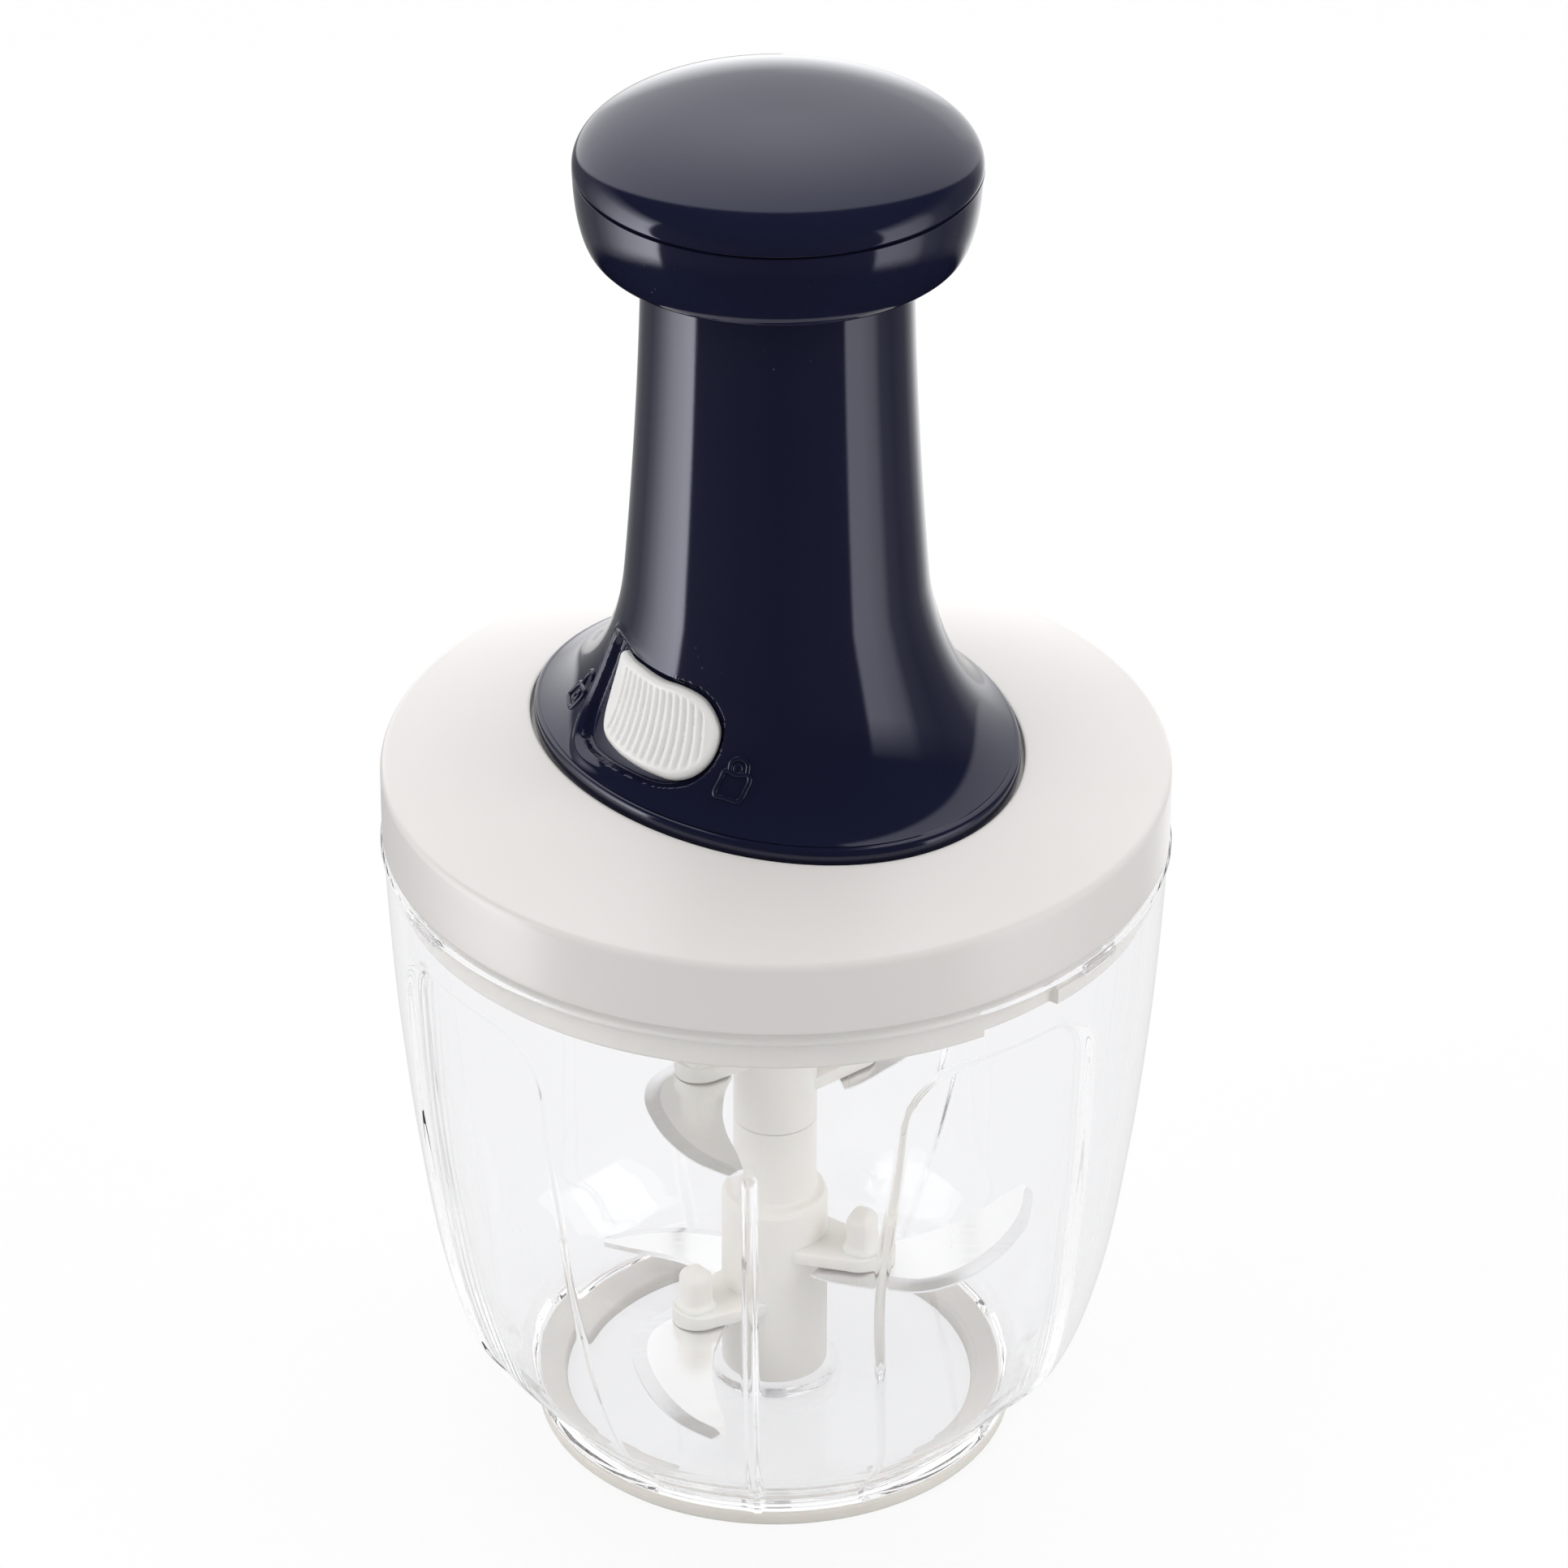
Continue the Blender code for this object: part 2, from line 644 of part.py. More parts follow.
def make_bowl():
    """The clear bowl with its recessed panels, rib, inner lugs and hub seat."""
    wall = offset_profile(bowl_side(), BOWL_WALL)
    wall = [point for point in wall if point[1] > BOWL_FLOOR_TOP + BOWL_WALL]
    wall[-1] = (wall[-1][0], BOWL_HEIGHT)
    rib_outer = RING_INNER_RADIUS - FIT
    pin_hole = PIN_RADIUS + FIT
    pin_floor = HUB_SEAT_TOP - PIN_EMBED - FIT
    profile = [
        (0.0, pin_floor), (pin_hole, pin_floor), (pin_hole, HUB_SEAT_TOP), (HUB_SEAT_RADIUS, HUB_SEAT_TOP),
        (HUB_SEAT_RADIUS, BOWL_FLOOR_TOP), (wall[0][0] - BOWL_WALL, BOWL_FLOOR_TOP), *wall,
        *reversed(bowl_side()),
        (rib_outer, BOWL_FOOT_BOTTOM), (rib_outer, LOCATING_RIB_LIFT),
        (rib_outer - LOCATING_RIB_WIDTH, LOCATING_RIB_LIFT),
        (rib_outer - LOCATING_RIB_WIDTH, BOWL_FOOT_BOTTOM), (0.0, BOWL_FOOT_BOTTOM),
    ]
    bowl = turned("bowl", profile, FINE_STEPS)
    panel_skin = bowl_skin("panel_skin", OVERRUN, PANEL_DEPTH)
    for index in range(PANEL_COUNT):
        bearing = PANEL_BEARING + math.tau * index / PANEL_COUNT
        prism = facing_prism(f"panel_cut_{index + 1}", panel_outline(), bearing, 0.0, LID_RADIUS + OVERRUN)
        combine(prism, panel_skin, 'INTERSECT')
        cut(bowl, prism)
    rib_skin = bowl_skin("rib_skin", RIB_PROUD, BOWL_WALL / 2)
    half = RIB_WIDTH / 2
    foot = BOWL_FOOT_BOTTOM + RIB_WIDTH
    upright = ((-half, foot), (half, foot), (half, RIB_TOP), (-half, RIB_TOP))
    rib = facing_prism("bowl_rib", upright, RIB_BEARING, 0.0, LID_RADIUS + OVERRUN)
    combine(rib, rib_skin, 'INTERSECT')
    fuse(bowl, rib)
    lug_top = BOWL_HEIGHT - LUG_DROP
    wall_radius = bowl_inner_radius(lug_top)
    for index in range(LUG_COUNT):
        bearing = LUG_BEARING + math.tau * index / LUG_COUNT
        outline = sector(wall_radius - SKIRT_GAP - LUG_DEPTH, wall_radius + BOWL_WALL / 2,
                         bearing - LUG_SPAN / 2, bearing + LUG_SPAN / 2)
        fuse(bowl, plate(f"bowl_lug_{index + 1}", outline, lug_top - LUG_HEIGHT, lug_top))
    finish(bowl, material("clear_plastic", CLEAR, 1.0))


def make_ring():
    """The soft ring under the foot that stops the bowl from slipping."""
    ring = tube("anti_slip_ring", RING_OUTER_RADIUS, RING_INNER_RADIUS, 0.0, RING_THICKNESS, FINE_STEPS)
    finish(ring, material("cream_silicone", CREAM))


def make_pin():
    """The steel pin in the bowl's floor that the blade stack turns on."""
    bottom = HUB_SEAT_TOP - PIN_EMBED
    top = HUB_SEAT_TOP + PIN_HEIGHT
    profile = (
        (0.0, top), (PIN_RADIUS / 2, top), (PIN_RADIUS, top - PIN_NOSE), (PIN_RADIUS, bottom), (0.0, bottom),
    )
    finish(turned("blade_pivot_pin", profile, SMALL_STEPS), STEEL_SURFACE)


# Blade stack


def turn_outline(outline, angle):
    """Turn a flat outline about the origin."""
    c, s = math.cos(angle), math.sin(angle)
    return [(x * c - y * s, x * s + y * c) for x, y in outline]


def arm_outline(root_width):
    """The outline of an arm along +X, with a round end."""
    half = ARM_END_WIDTH / 2
    centre = ARM_REACH - half
    end = [(centre + half * math.cos(a), half * math.sin(a)) for a in fan(-math.pi / 2, math.pi / 2, 6)]
    return [(0.0, -root_width / 2), *end, (0.0, root_width / 2)]


def fan(start, end, steps):
    """Evenly spread angles."""
    return [start + (end - start) * index / steps for index in range(steps + 1)]


def make_arm(hub, name, bearing, height, root_width):
    """Fuse an arm, its upright peg and the stake that holds its blade to a hub."""
    bottom = height - ARM_THICKNESS / 2
    top = height + ARM_THICKNESS / 2
    arm = plate(f"{name}_arm", turn_outline(arm_outline(root_width), bearing), bottom, top)
    peg_top = top + PEG_HEIGHT
    dome = arc(0.0, peg_top - PEG_RADIUS, PEG_RADIUS, math.pi / 2, 0.0)
    peg_profile = [(0.0, peg_top), *dome[1:], (PEG_RADIUS, height), (0.0, height)]
    peg = turned(f"{name}_peg", peg_profile, SCREW_STEPS, False, polar(ARM_REACH - PEG_INSET, bearing))
    head_top = bottom - BLADE_THICKNESS - 2 * FIT
    head_bottom = head_top - STAKE_HEAD_HEIGHT
    stake_profile = (
        (0.0, height), (STAKE_RADIUS, height), (STAKE_RADIUS, head_top), (STAKE_HEAD_RADIUS, head_top),
        (STAKE_HEAD_RADIUS, head_bottom), (0.0, head_bottom),
    )
    stake = turned(f"{name}_stake", stake_profile, SCREW_STEPS, False, polar(STAKE_DISTANCE, bearing))
    fuse(hub, arm, peg, stake)


def blade_edge(shares, reach):
    """Points along one edge of a blade whose arm points along +X, by shares of the way from root to tip."""
    return [polar(BLADE_ROOT + (reach - BLADE_ROOT) * share, math.radians(angle)) for share, angle in shares]


def make_blade(name, bearing, arm_height, reach_share):
    """A flat sickle blade that reaches a share of the bowl's inner radius at its height.

    Its outer edge is ground to a bevel on the upper face.
    """
    top = arm_height - ARM_THICKNESS / 2 - FIT
    bottom = top - BLADE_THICKNESS
    reach = bowl_inner_radius(bottom) * reach_share
    cutting = curve_through(blade_edge(CUTTING_EDGE_SHARES, reach), 2)
    back = curve_through(blade_edge(BACK_EDGE_SHARES, reach), 2)
    last = len(cutting) - 1
    square = offset_profile(cutting, BLADE_BEVEL)
    ground = []
    for index, (edge, inner) in enumerate(zip(cutting, square)):
        fade = 1 - (index / last) ** 4
        ground.append(tuple(Vector(edge).lerp(Vector(inner), max(fade, BEVEL_TIP_SHARE))))
    low = [(x, y, bottom) for x, y in turn_outline(cutting + back, bearing)]
    high = [(x, y, top) for x, y in turn_outline(ground + back, bearing)]
    blade = loft(name, (low, high))
    hole = disc(f"{name}_hole", STAKE_RADIUS + FIT, bottom - OVERRUN, top + OVERRUN, SCREW_STEPS,
                polar(STAKE_DISTANCE, bearing))
    finish(cut(blade, hole), STEEL_SURFACE)


def make_hubs():
    """The two moulded hubs with their arms, bored for the hexagon shaft and the pin."""
    lower = turned("lower_blade_hub", (
        (0.0, LOWER_HUB_TOP), (TUBE_RADIUS, LOWER_HUB_TOP), (TUBE_RADIUS, LOWER_HUB_SHOULDER + LOWER_HUB_STEP),
        (LOWER_HUB_RADIUS - BLADE_THICKNESS, LOWER_HUB_SHOULDER + BLADE_THICKNESS),
        (LOWER_HUB_RADIUS, LOWER_HUB_SHOULDER), (LOWER_HUB_RADIUS, LOWER_HUB_BOTTOM), (0.0, LOWER_HUB_BOTTOM),
    ), TUBE_STEPS)
    for index, (bearing, height) in enumerate(zip(LOWER_ARM_BEARINGS, LOWER_ARM_HEIGHTS)):
        make_arm(lower, f"lower_{index + 1}", bearing, height, ARM_ROOT_WIDTH)
    bore = hexagon(SHAFT_ACROSS_FLATS + 2 * FIT)
    cut(lower, plate("lower_hub_socket", bore, SHAFT_BOTTOM - FIT, LOWER_HUB_TOP + OVERRUN))
    cut(lower, disc("lower_hub_bore", PIN_RADIUS + RUNNING_GAP, LOWER_HUB_BOTTOM - OVERRUN, PIN_BORE_TOP,
                    SMALL_STEPS))
    finish(lower, HUB_SURFACE)
    bottom = UPPER_HUB_BOTTOM
    upper = turned("upper_blade_hub", (
        (0.0, UPPER_HUB_TOP), (TUBE_RADIUS, UPPER_HUB_TOP), (TUBE_RADIUS, bottom), (0.0, bottom),
    ), TUBE_STEPS)
    for index, (bearing, height) in enumerate(zip(UPPER_ARM_BEARINGS, UPPER_ARM_HEIGHTS)):
        make_arm(upper, f"upper_{index + 1}", bearing, height, UPPER_ARM_ROOT_WIDTH)
    cut(upper, plate("upper_hub_socket", bore, bottom - OVERRUN, UPPER_HUB_TOP + OVERRUN))
    finish(upper, HUB_SURFACE)


def make_blades():
    """The five sickle blades, three low and two high."""
    lower = zip(LOWER_ARM_BEARINGS, LOWER_ARM_HEIGHTS, LOWER_BLADE_REACH_SHARES)
    for index, (bearing, height, share) in enumerate(lower):
        make_blade(f"lower_blade_{index + 1}", bearing, height, share)
    upper = zip(UPPER_ARM_BEARINGS, UPPER_ARM_HEIGHTS, UPPER_BLADE_REACH_SHARES)
    for index, (bearing, height, share) in enumerate(upper):
        make_blade(f"upper_blade_{index + 1}", bearing, height, share)


def make_shaft():
    """The hexagon shaft that keys both hubs to the drive coupler."""
    finish(plate("blade_shaft", hexagon(SHAFT_ACROSS_FLATS), SHAFT_BOTTOM, SHAFT_TOP), STEEL_SURFACE)


# Lid


def dome(radius):
    """Height of the lid's domed top at a radius."""
    return LID_CROWN - (LID_CROWN - LID_SHOULDER) * (radius / LID_RADIUS) ** 2


def skirt_radius():
    """Outer radius of the skirt that drops into the bowl."""
    return bowl_inner_radius(SKIRT_BOTTOM) - SKIRT_GAP


def make_lid_cover():
    """The domed cover with its outer wall and screw bosses."""
    corner = LID_RADIUS - LID_ROUNDING
    corner_height = dome(corner) - LID_ROUNDING
    top = [(radius, dome(radius)) for radius in spread(LID_OPENING_RADIUS, corner, 4)]
    bend = arc(corner, corner_height, LID_ROUNDING, math.radians(60.0), 0.0, 2)
    inner = LID_RADIUS - LID_WALL
    under = [(radius, dome(radius) - LID_WALL) for radius in spread(inner, LID_OPENING_RADIUS, 3)]
    profile = [*top, *bend, (LID_RADIUS, LID_EDGE), (inner, LID_EDGE), *under]
    cover = turned("lid_cover", profile, FINE_STEPS, True)
    hole_top = BASE_PLATE_BOTTOM + SCREW_GRIP + FIT
    for index, place in enumerate(base_screw_places()):
        boss_top = dome(BASE_SCREW_PLACE) - LID_WALL / 2
        boss = disc(f"cover_boss_{index + 1}", BASE_BOSS_RADIUS, BASE_PLATE_TOP + FIT, boss_top, SMALL_STEPS, place)
        fuse(cover, boss)
    for index, place in enumerate(base_screw_places()):
        cut(cover, screw_hole(f"cover_boss_hole_{index + 1}", place, BASE_PLATE_BOTTOM, hole_top))
    for index, place in enumerate(column_screw_places()):
        cut(cover, screw_hole(f"column_hole_{index + 1}", place, LID_EDGE, LID_CROWN + OVERRUN))
    finish(cover, WHITE_SURFACE)


def spread(start, end, steps):
    """Evenly spread values, both ends included."""
    return [start + (end - start) * index / steps for index in range(steps + 1)]


def base_screw_places():
    """Where the screws go that hold the base to the cover."""
    return around(BASE_SCREW_COUNT, BASE_SCREW_PLACE, math.pi / BASE_SCREW_COUNT)


def housing_screw_places():
    """Where the screws go that hold the clutch housing to the base."""
    return around(HOUSING_SCREW_COUNT, HOUSING_FLANGE_RADIUS - HOUSING_SCREW_INSET, math.pi / 2)


def column_screw_places():
    """Where the screws go that hold the column to the cover, beside the long axis of its flange."""
    turns = (COLUMN_SCREW_TURN, -COLUMN_SCREW_TURN)
    ends = (FLANGE_BEARING, FLANGE_BEARING + math.pi)
    return [polar(COLUMN_SCREW_PLACE, end + turn) for end in ends for turn in turns]


def make_lid_base():
    """The base of the lid: a skirt in the bowl, a plate and the bearing boss, with bayonet tracks."""
    skirt = skirt_radius()
    inner = skirt - SKIRT_WALL
    flange = LID_RADIUS - LID_WALL - FIT
    flange_bottom = LID_EDGE
    flange_top = flange_bottom + BASE_FLANGE_THICKNESS
    groove_bottom = flange_bottom - GASKET_HEIGHT - 2 * FIT
    bore = BUSH_RADIUS + FIT
    boss = bore + BEARING_BOSS_WALL
    base = turned("lid_base", (
        (inner, flange_top), (flange, flange_top), (flange, flange_bottom), (skirt - GASKET_WIDTH, flange_bottom),
        (skirt - GASKET_WIDTH, groove_bottom), (skirt, groove_bottom), (skirt, SKIRT_BOTTOM),
        (inner, SKIRT_BOTTOM), (inner, BASE_PLATE_BOTTOM), (bore, BASE_PLATE_BOTTOM), (bore, BEARING_BOSS_TOP),
        (boss, BEARING_BOSS_TOP), (boss, BASE_PLATE_TOP), (inner, BASE_PLATE_TOP),
    ), FINE_STEPS, True)
    lug_top = BOWL_HEIGHT - LUG_DROP
    track_floor = bowl_inner_radius(lug_top) - SKIRT_GAP - LUG_DEPTH - FIT
    track_outer = skirt + OVERRUN
    for index in range(LUG_COUNT):
        lug = LUG_BEARING + math.tau * index / LUG_COUNT
        entry_start = lug - LID_TWIST - LUG_SPAN / 2 - ENTRY_EXTRA / 2
        entry_end = lug - LID_TWIST + LUG_SPAN / 2 + ENTRY_EXTRA / 2
        track_end = lug + LUG_SPAN / 2 + LUG_PLAY
        entry = sector(track_floor, track_outer, entry_start, entry_end)
        track = sector(track_floor, track_outer, entry_start, track_end, 8)
        cut(base, plate(f"bayonet_entry_{index + 1}", entry, SKIRT_BOTTOM - OVERRUN, lug_top))
        cut(base, plate(f"bayonet_track_{index + 1}", track, lug_top - LUG_HEIGHT - FIT, lug_top + FIT))
    places = base_screw_places() + housing_screw_places()
    for index, place in enumerate(places):
        cut(base, screw_hole(f"base_hole_{index + 1}", place, SKIRT_BOTTOM, BEARING_BOSS_TOP))
    finish(base, WHITE_SURFACE)


def make_gasket():
    """The soft ring that seals the skirt to the bowl."""
    top = LID_EDGE - FIT
    bottom = top - GASKET_HEIGHT
    outer = bowl_inner_radius(bottom) - FIT
    inner = skirt_radius() - GASKET_WIDTH + FIT
    gasket = tube("lid_gasket", outer, inner, bottom, top, FINE_STEPS)
    finish(gasket, material("white_silicone", WHITE))


def make_lid_screws():
    """The screws that hold the base, the clutch housing and the column together."""
    for index, place in enumerate(base_screw_places()):
        screw(f"base_screw_{index + 1}", place, BASE_PLATE_BOTTOM - FIT, STEEL_SURFACE)
    for index, place in enumerate(housing_screw_places()):
        screw(f"housing_screw_{index + 1}", place, BASE_PLATE_BOTTOM - FIT, STEEL_SURFACE)
    for index, place in enumerate(column_screw_places()):
        screw(f"column_screw_{index + 1}", place, column_screw_seat(), STEEL_SURFACE)


def column_screw_seat():
    """Height at which a column screw's head meets the domed underside of the cover."""
    return dome(COLUMN_SCREW_PLACE + SCREW_HEAD_RADIUS) - LID_WALL - FIT


# Bearing and clutch


def make_bush():
    """The acetal bush that carries the drive coupler."""
    flange = BUSH_RADIUS + BUSH_FLANGE_WIDTH
    flange_bottom = BUSH_BOTTOM - BUSH_FLANGE_HEIGHT
    bush = turned("bearing_bush", (
        (BUSH_RADIUS, BUSH_TOP), (BUSH_RADIUS, BUSH_BOTTOM), (flange, BUSH_BOTTOM), (flange, flange_bottom),
        (BUSH_BORE_RADIUS, flange_bottom), (BUSH_BORE_RADIUS, BUSH_TOP),
    ), TUBE_STEPS, True)
    finish(bush, ACETAL_SURFACE)


def tooth_ring(name, root, height_at, phase):
    """A crown of saw teeth between the clutch's bore and rim.

    Each tooth rises over most of its pitch and falls steeply over the rest.
    """
    pitch = math.tau / TOOTH_COUNT
    shares = (0.0, (1 - TOOTH_FALL_SHARE) / 2, 1 - TOOTH_FALL_SHARE)
    rings = []
    for tooth in range(TOOTH_COUNT):
        for share in shares:
            angle = phase + pitch * (tooth + share)
            tip = height_at(share / (1 - TOOTH_FALL_SHARE))
            low, high = min(root, tip), max(root, tip)
            inside = polar(CLUTCH_BORE_RADIUS, angle)
            outside = polar(CLUTCH_RADIUS, angle)
            rings.append(((*inside, low), (*inside, high), (*outside, high), (*outside, low)))
    return loft(name, rings, True)


def make_coupler():
    """The lower half of the clutch, with the stem and hexagon socket that drive the blades."""
    recess = COUPLER_DISC_TOP - PILOT_DEPTH
    pilot = PILOT_RADIUS + FIT
    coupler = turned("drive_coupler", (
        (0.0, recess), (pilot, recess), (pilot, COUPLER_DISC_TOP), (CLUTCH_RADIUS, COUPLER_DISC_TOP),
        (CLUTCH_RADIUS, COUPLER_DISC_BOTTOM), (COUPLER_RADIUS, COUPLER_DISC_BOTTOM),
        (COUPLER_RADIUS, COUPLER_BOTTOM), (0.0, COUPLER_BOTTOM),
    ), TOOTH_COUNT * 3)
    root = COUPLER_DISC_TOP - CLUTCH_DISC_THICKNESS / 2
    fuse(coupler, tooth_ring("coupler_teeth", root, lambda rise: COUPLER_DISC_TOP + TOOTH_HEIGHT * rise, 0.0))
    socket = hexagon(SHAFT_ACROSS_FLATS + 2 * FIT)
    cut(coupler, plate("coupler_socket", socket, COUPLER_BOTTOM - OVERRUN, COUPLER_BOTTOM + SOCKET_DEPTH))
    finish(coupler, ACETAL_SURFACE)


def make_driver():
    """The upper half of the clutch, keyed on the spindle's hexagon foot."""
    driver = turned("clutch_driver", (
        (0.0, DRIVER_HUB_TOP), (DRIVER_HUB_RADIUS, DRIVER_HUB_TOP), (DRIVER_HUB_RADIUS, DRIVER_DISC_TOP),
        (CLUTCH_RADIUS, DRIVER_DISC_TOP), (CLUTCH_RADIUS, DRIVER_DISC_BOTTOM), (0.0, DRIVER_DISC_BOTTOM),
    ), TOOTH_COUNT * 3)
    root = DRIVER_DISC_BOTTOM + CLUTCH_DISC_THICKNESS / 2
    fall = DRIVER_DISC_BOTTOM - TOOTH_HEIGHT
    teeth = tooth_ring("driver_teeth", root, lambda rise: fall + TOOTH_HEIGHT * rise, TOOTH_PHASE_GAP)
    fuse(driver, teeth)
    bore = hexagon(SPINDLE_ACROSS_FLATS + 2 * FIT)
    cut(driver, plate("driver_bore", bore, COUPLER_BOTTOM, DRIVER_HUB_TOP + OVERRUN))
    finish(driver, ACETAL_SURFACE)


def helix(name, radius, wire, bottom, top, turns):
    """An unbroken coil with level end curls."""
    count = turns * CURL_POINTS
    curve = bpy.data.curves.new(name, 'CURVE')
    curve.dimensions = '3D'
    curve.bevel_depth = wire
    curve.bevel_resolution = 1
    curve.use_fill_caps = True
    spline = curve.splines.new('POLY')
    spline.points.add(count)
    points = []
    for index in range(count + 1):
        climb = index / count
        across, along = polar(radius, math.tau * turns * climb)
        points.append((across, along, bottom + wire + (top - bottom - 2 * wire) * climb))
    for point, place in zip(spline.points, points):
        point.co = (*place, 1.0)
    guide = bpy.data.objects.new(name, curve)
    PARTS.objects.link(guide)
    gap = coil_gap(points, wire)
    print(f"{name}: least gap to itself {gap * 1000:.2f} mm")
    return as_mesh(guide)


def coil_gap(points, wire):
    """Least clear gap between points of a coil that are at least half a curl apart."""
    places = [Vector(point) for point in points]
    apart = CURL_POINTS // 2
    least = min(
        (places[first] - places[second]).length
        for first in range(len(places)) for second in range(first + apart, len(places))
    )
    return least - 2 * wire


def make_clutch_spring():
    """The short spring that lifts the coupler into the driver's teeth."""
    spring = helix("clutch_spring", CLUTCH_SPRING_RADIUS, CLUTCH_SPRING_WIRE, BASE_PLATE_TOP + FIT,
                   COUPLER_DISC_BOTTOM - FIT, CLUTCH_SPRING_TURNS)
    finish(spring, STEEL_SURFACE)


def make_housing():
    """The cup over the clutch, which takes the spindle's thrust."""
    flange_top = BASE_PLATE_TOP + FIT + HOUSING_FLANGE_THICKNESS
    bottom = BASE_PLATE_TOP + FIT
    housing = turned("clutch_housing", (
        (HOUSING_RADIUS, HOUSING_TOP), (HOUSING_RADIUS, flange_top), (HOUSING_FLANGE_RADIUS, flange_top),
        (HOUSING_FLANGE_RADIUS, bottom), (HOUSING_BORE_RADIUS, bottom), (HOUSING_BORE_RADIUS, HOUSING_ROOF_BOTTOM),
        (HOUSING_HOLE_RADIUS, HOUSING_ROOF_BOTTOM), (HOUSING_HOLE_RADIUS, HOUSING_TOP),
    ), MID_STEPS, True)
    hole_top = BASE_PLATE_BOTTOM + SCREW_GRIP + FIT
    for index, place in enumerate(housing_screw_places()):
        cut(housing, screw_hole(f"housing_hole_{index + 1}", place, BASE_PLATE_BOTTOM, hole_top))
    finish(housing, ACETAL_SURFACE)


def make_washer():
    """The thrust washer between the spindle's collar and the housing."""
    washer = tube("thrust_washer", WASHER_RADIUS, HOUSING_HOLE_RADIUS, WASHER_BOTTOM, WASHER_TOP, SMALL_STEPS)
    finish(washer, STEEL_SURFACE)


# Spiral spindle and nut


def spiral(name, bottom, top, clearance, level_step):
    """A left-hand twisted bar of three rounded lobes between two heights."""
    levels = math.ceil((top - bottom) / level_step)
    rings = []
    for height in spread(bottom, top, levels):
        twist = -math.tau * (height - NUT_BOTTOM) / SPINDLE_LEAD
        ring = []
        for angle in fan(0.0, math.tau, SPINDLE_STARTS * LOBE_POINTS)[:-1]:
            radius = SPINDLE_RADIUS + clearance + SPINDLE_LOBE * math.cos(SPINDLE_STARTS * angle)
            ring.append((*polar(radius, angle + twist), height))
        rings.append(ring)
    return loft(name, rings)


def make_spindle():
    """The twisted spindle with its thrust collar and hexagon foot."""
    middle = (SPINDLE_COLLAR_BOTTOM + SPINDLE_COLLAR_TOP) / 2
    spindle = spiral("spiral_spindle", middle, SPINDLE_TOP, 0.0, SPINDLE_LEVEL_STEP)
    collar = disc("spindle_collar", SPINDLE_COLLAR_RADIUS, SPINDLE_COLLAR_BOTTOM, SPINDLE_COLLAR_TOP, SMALL_STEPS)
    foot_bottom = COUPLER_DISC_TOP - PILOT_DEPTH + FIT
    foot = plate("spindle_foot", hexagon(SPINDLE_ACROSS_FLATS), foot_bottom, middle)
    finish(fuse(spindle, collar, foot), STEEL_SURFACE)


def make_nut():
    """The drive nut whose twisted bore turns the spindle as it slides."""
    top = NUT_BOTTOM + NUT_HEIGHT
    flange_top = NUT_BOTTOM + NUT_FLANGE_HEIGHT
    neck = NUT_TUBE_RADIUS - NUT_TUBE_WALL - FIT
    nut = turned("drive_nut", (
        (0.0, top), (neck, top), (neck, flange_top), (NUT_TUBE_RADIUS, flange_top),
        (NUT_TUBE_RADIUS, NUT_BOTTOM), (0.0, NUT_BOTTOM),
    ), TUBE_STEPS)
    bore = spiral("nut_bore", NUT_BOTTOM - NUT_PLAY, top + NUT_PLAY, NUT_PLAY, SPINDLE_LEVEL_STEP)
    finish(cut(nut, bore), ACETAL_SURFACE)


def make_nut_tube():
    """The tube that hangs from the carrier and pushes the nut."""
    bottom = NUT_BOTTOM + NUT_FLANGE_HEIGHT + FIT
    flange_bottom = CARRIER_TOP + FIT
    flange_top = flange_bottom + CARRIER_THICKNESS
    flange = NUT_TUBE_RADIUS + NUT_TUBE_FLANGE_WIDTH
    inner = NUT_TUBE_RADIUS - NUT_TUBE_WALL
    made = turned("nut_tube", (
        (flange, flange_top), (flange, flange_bottom), (NUT_TUBE_RADIUS, flange_bottom), (NUT_TUBE_RADIUS, bottom),
        (inner, bottom), (inner, flange_top),
    ), TUBE_STEPS, True)
    finish(made, ACETAL_SURFACE)


# Column


def flange_radius(angle):
    """Radius of the column's oval flange at an angle."""
    turn = angle - FLANGE_BEARING
    across = FLANGE_HALF_WIDTH * math.cos(turn)
    along = FLANGE_HALF_LENGTH * math.sin(turn)
    return FLANGE_HALF_LENGTH * FLANGE_HALF_WIDTH / math.hypot(across, along)


def column_taper(height):
    """Radius of the column's plain taper at a height."""
    drop = max(COLUMN_TOP - height, 0.0) / (COLUMN_TOP - COLUMN_FLARE_TOP)
    return COLUMN_TOP_RADIUS + (COLUMN_FLARE_RADIUS - COLUMN_TOP_RADIUS) * drop ** COLUMN_TAPER_SHARE


def column_side(angle):
    """Points of (radius, height) up the column's outside at an angle, from flange to top."""
    edge = flange_radius(angle)
    foot = dome(edge) + FIT
    lip = foot + FLANGE_LIP
    fall = COLUMN_FLARE_TOP - lip
    reach = edge - column_taper(lip)
    points = [(edge, foot)]
    for sweep in fan(FLARE_END_ANGLE, 0.0, 6):
        height = COLUMN_FLARE_TOP - fall * math.sin(sweep) / math.sin(FLARE_END_ANGLE)
        swell = (1 - math.cos(sweep)) / (1 - math.cos(FLARE_END_ANGLE))
        points.append((column_taper(height) + reach * swell, height))
    for height in spread(COLUMN_FLARE_TOP, COLUMN_TOP, 2)[1:]:
        points.append((column_taper(height), height))
    return points


def column_rings(outset, start, end):
    """Rings around the column's outside, moved square to it by a distance."""
    rings = []
    sides = []
    for angle in fan(0.0, math.tau, MID_STEPS)[:-1]:
        side = column_side(angle)[1:]
        sides.append((angle, offset_profile(side, -outset)))
    for level in range(start, end):
        rings.append([(*polar(side[level][0], angle), side[level][1]) for angle, side in sides])
    return rings


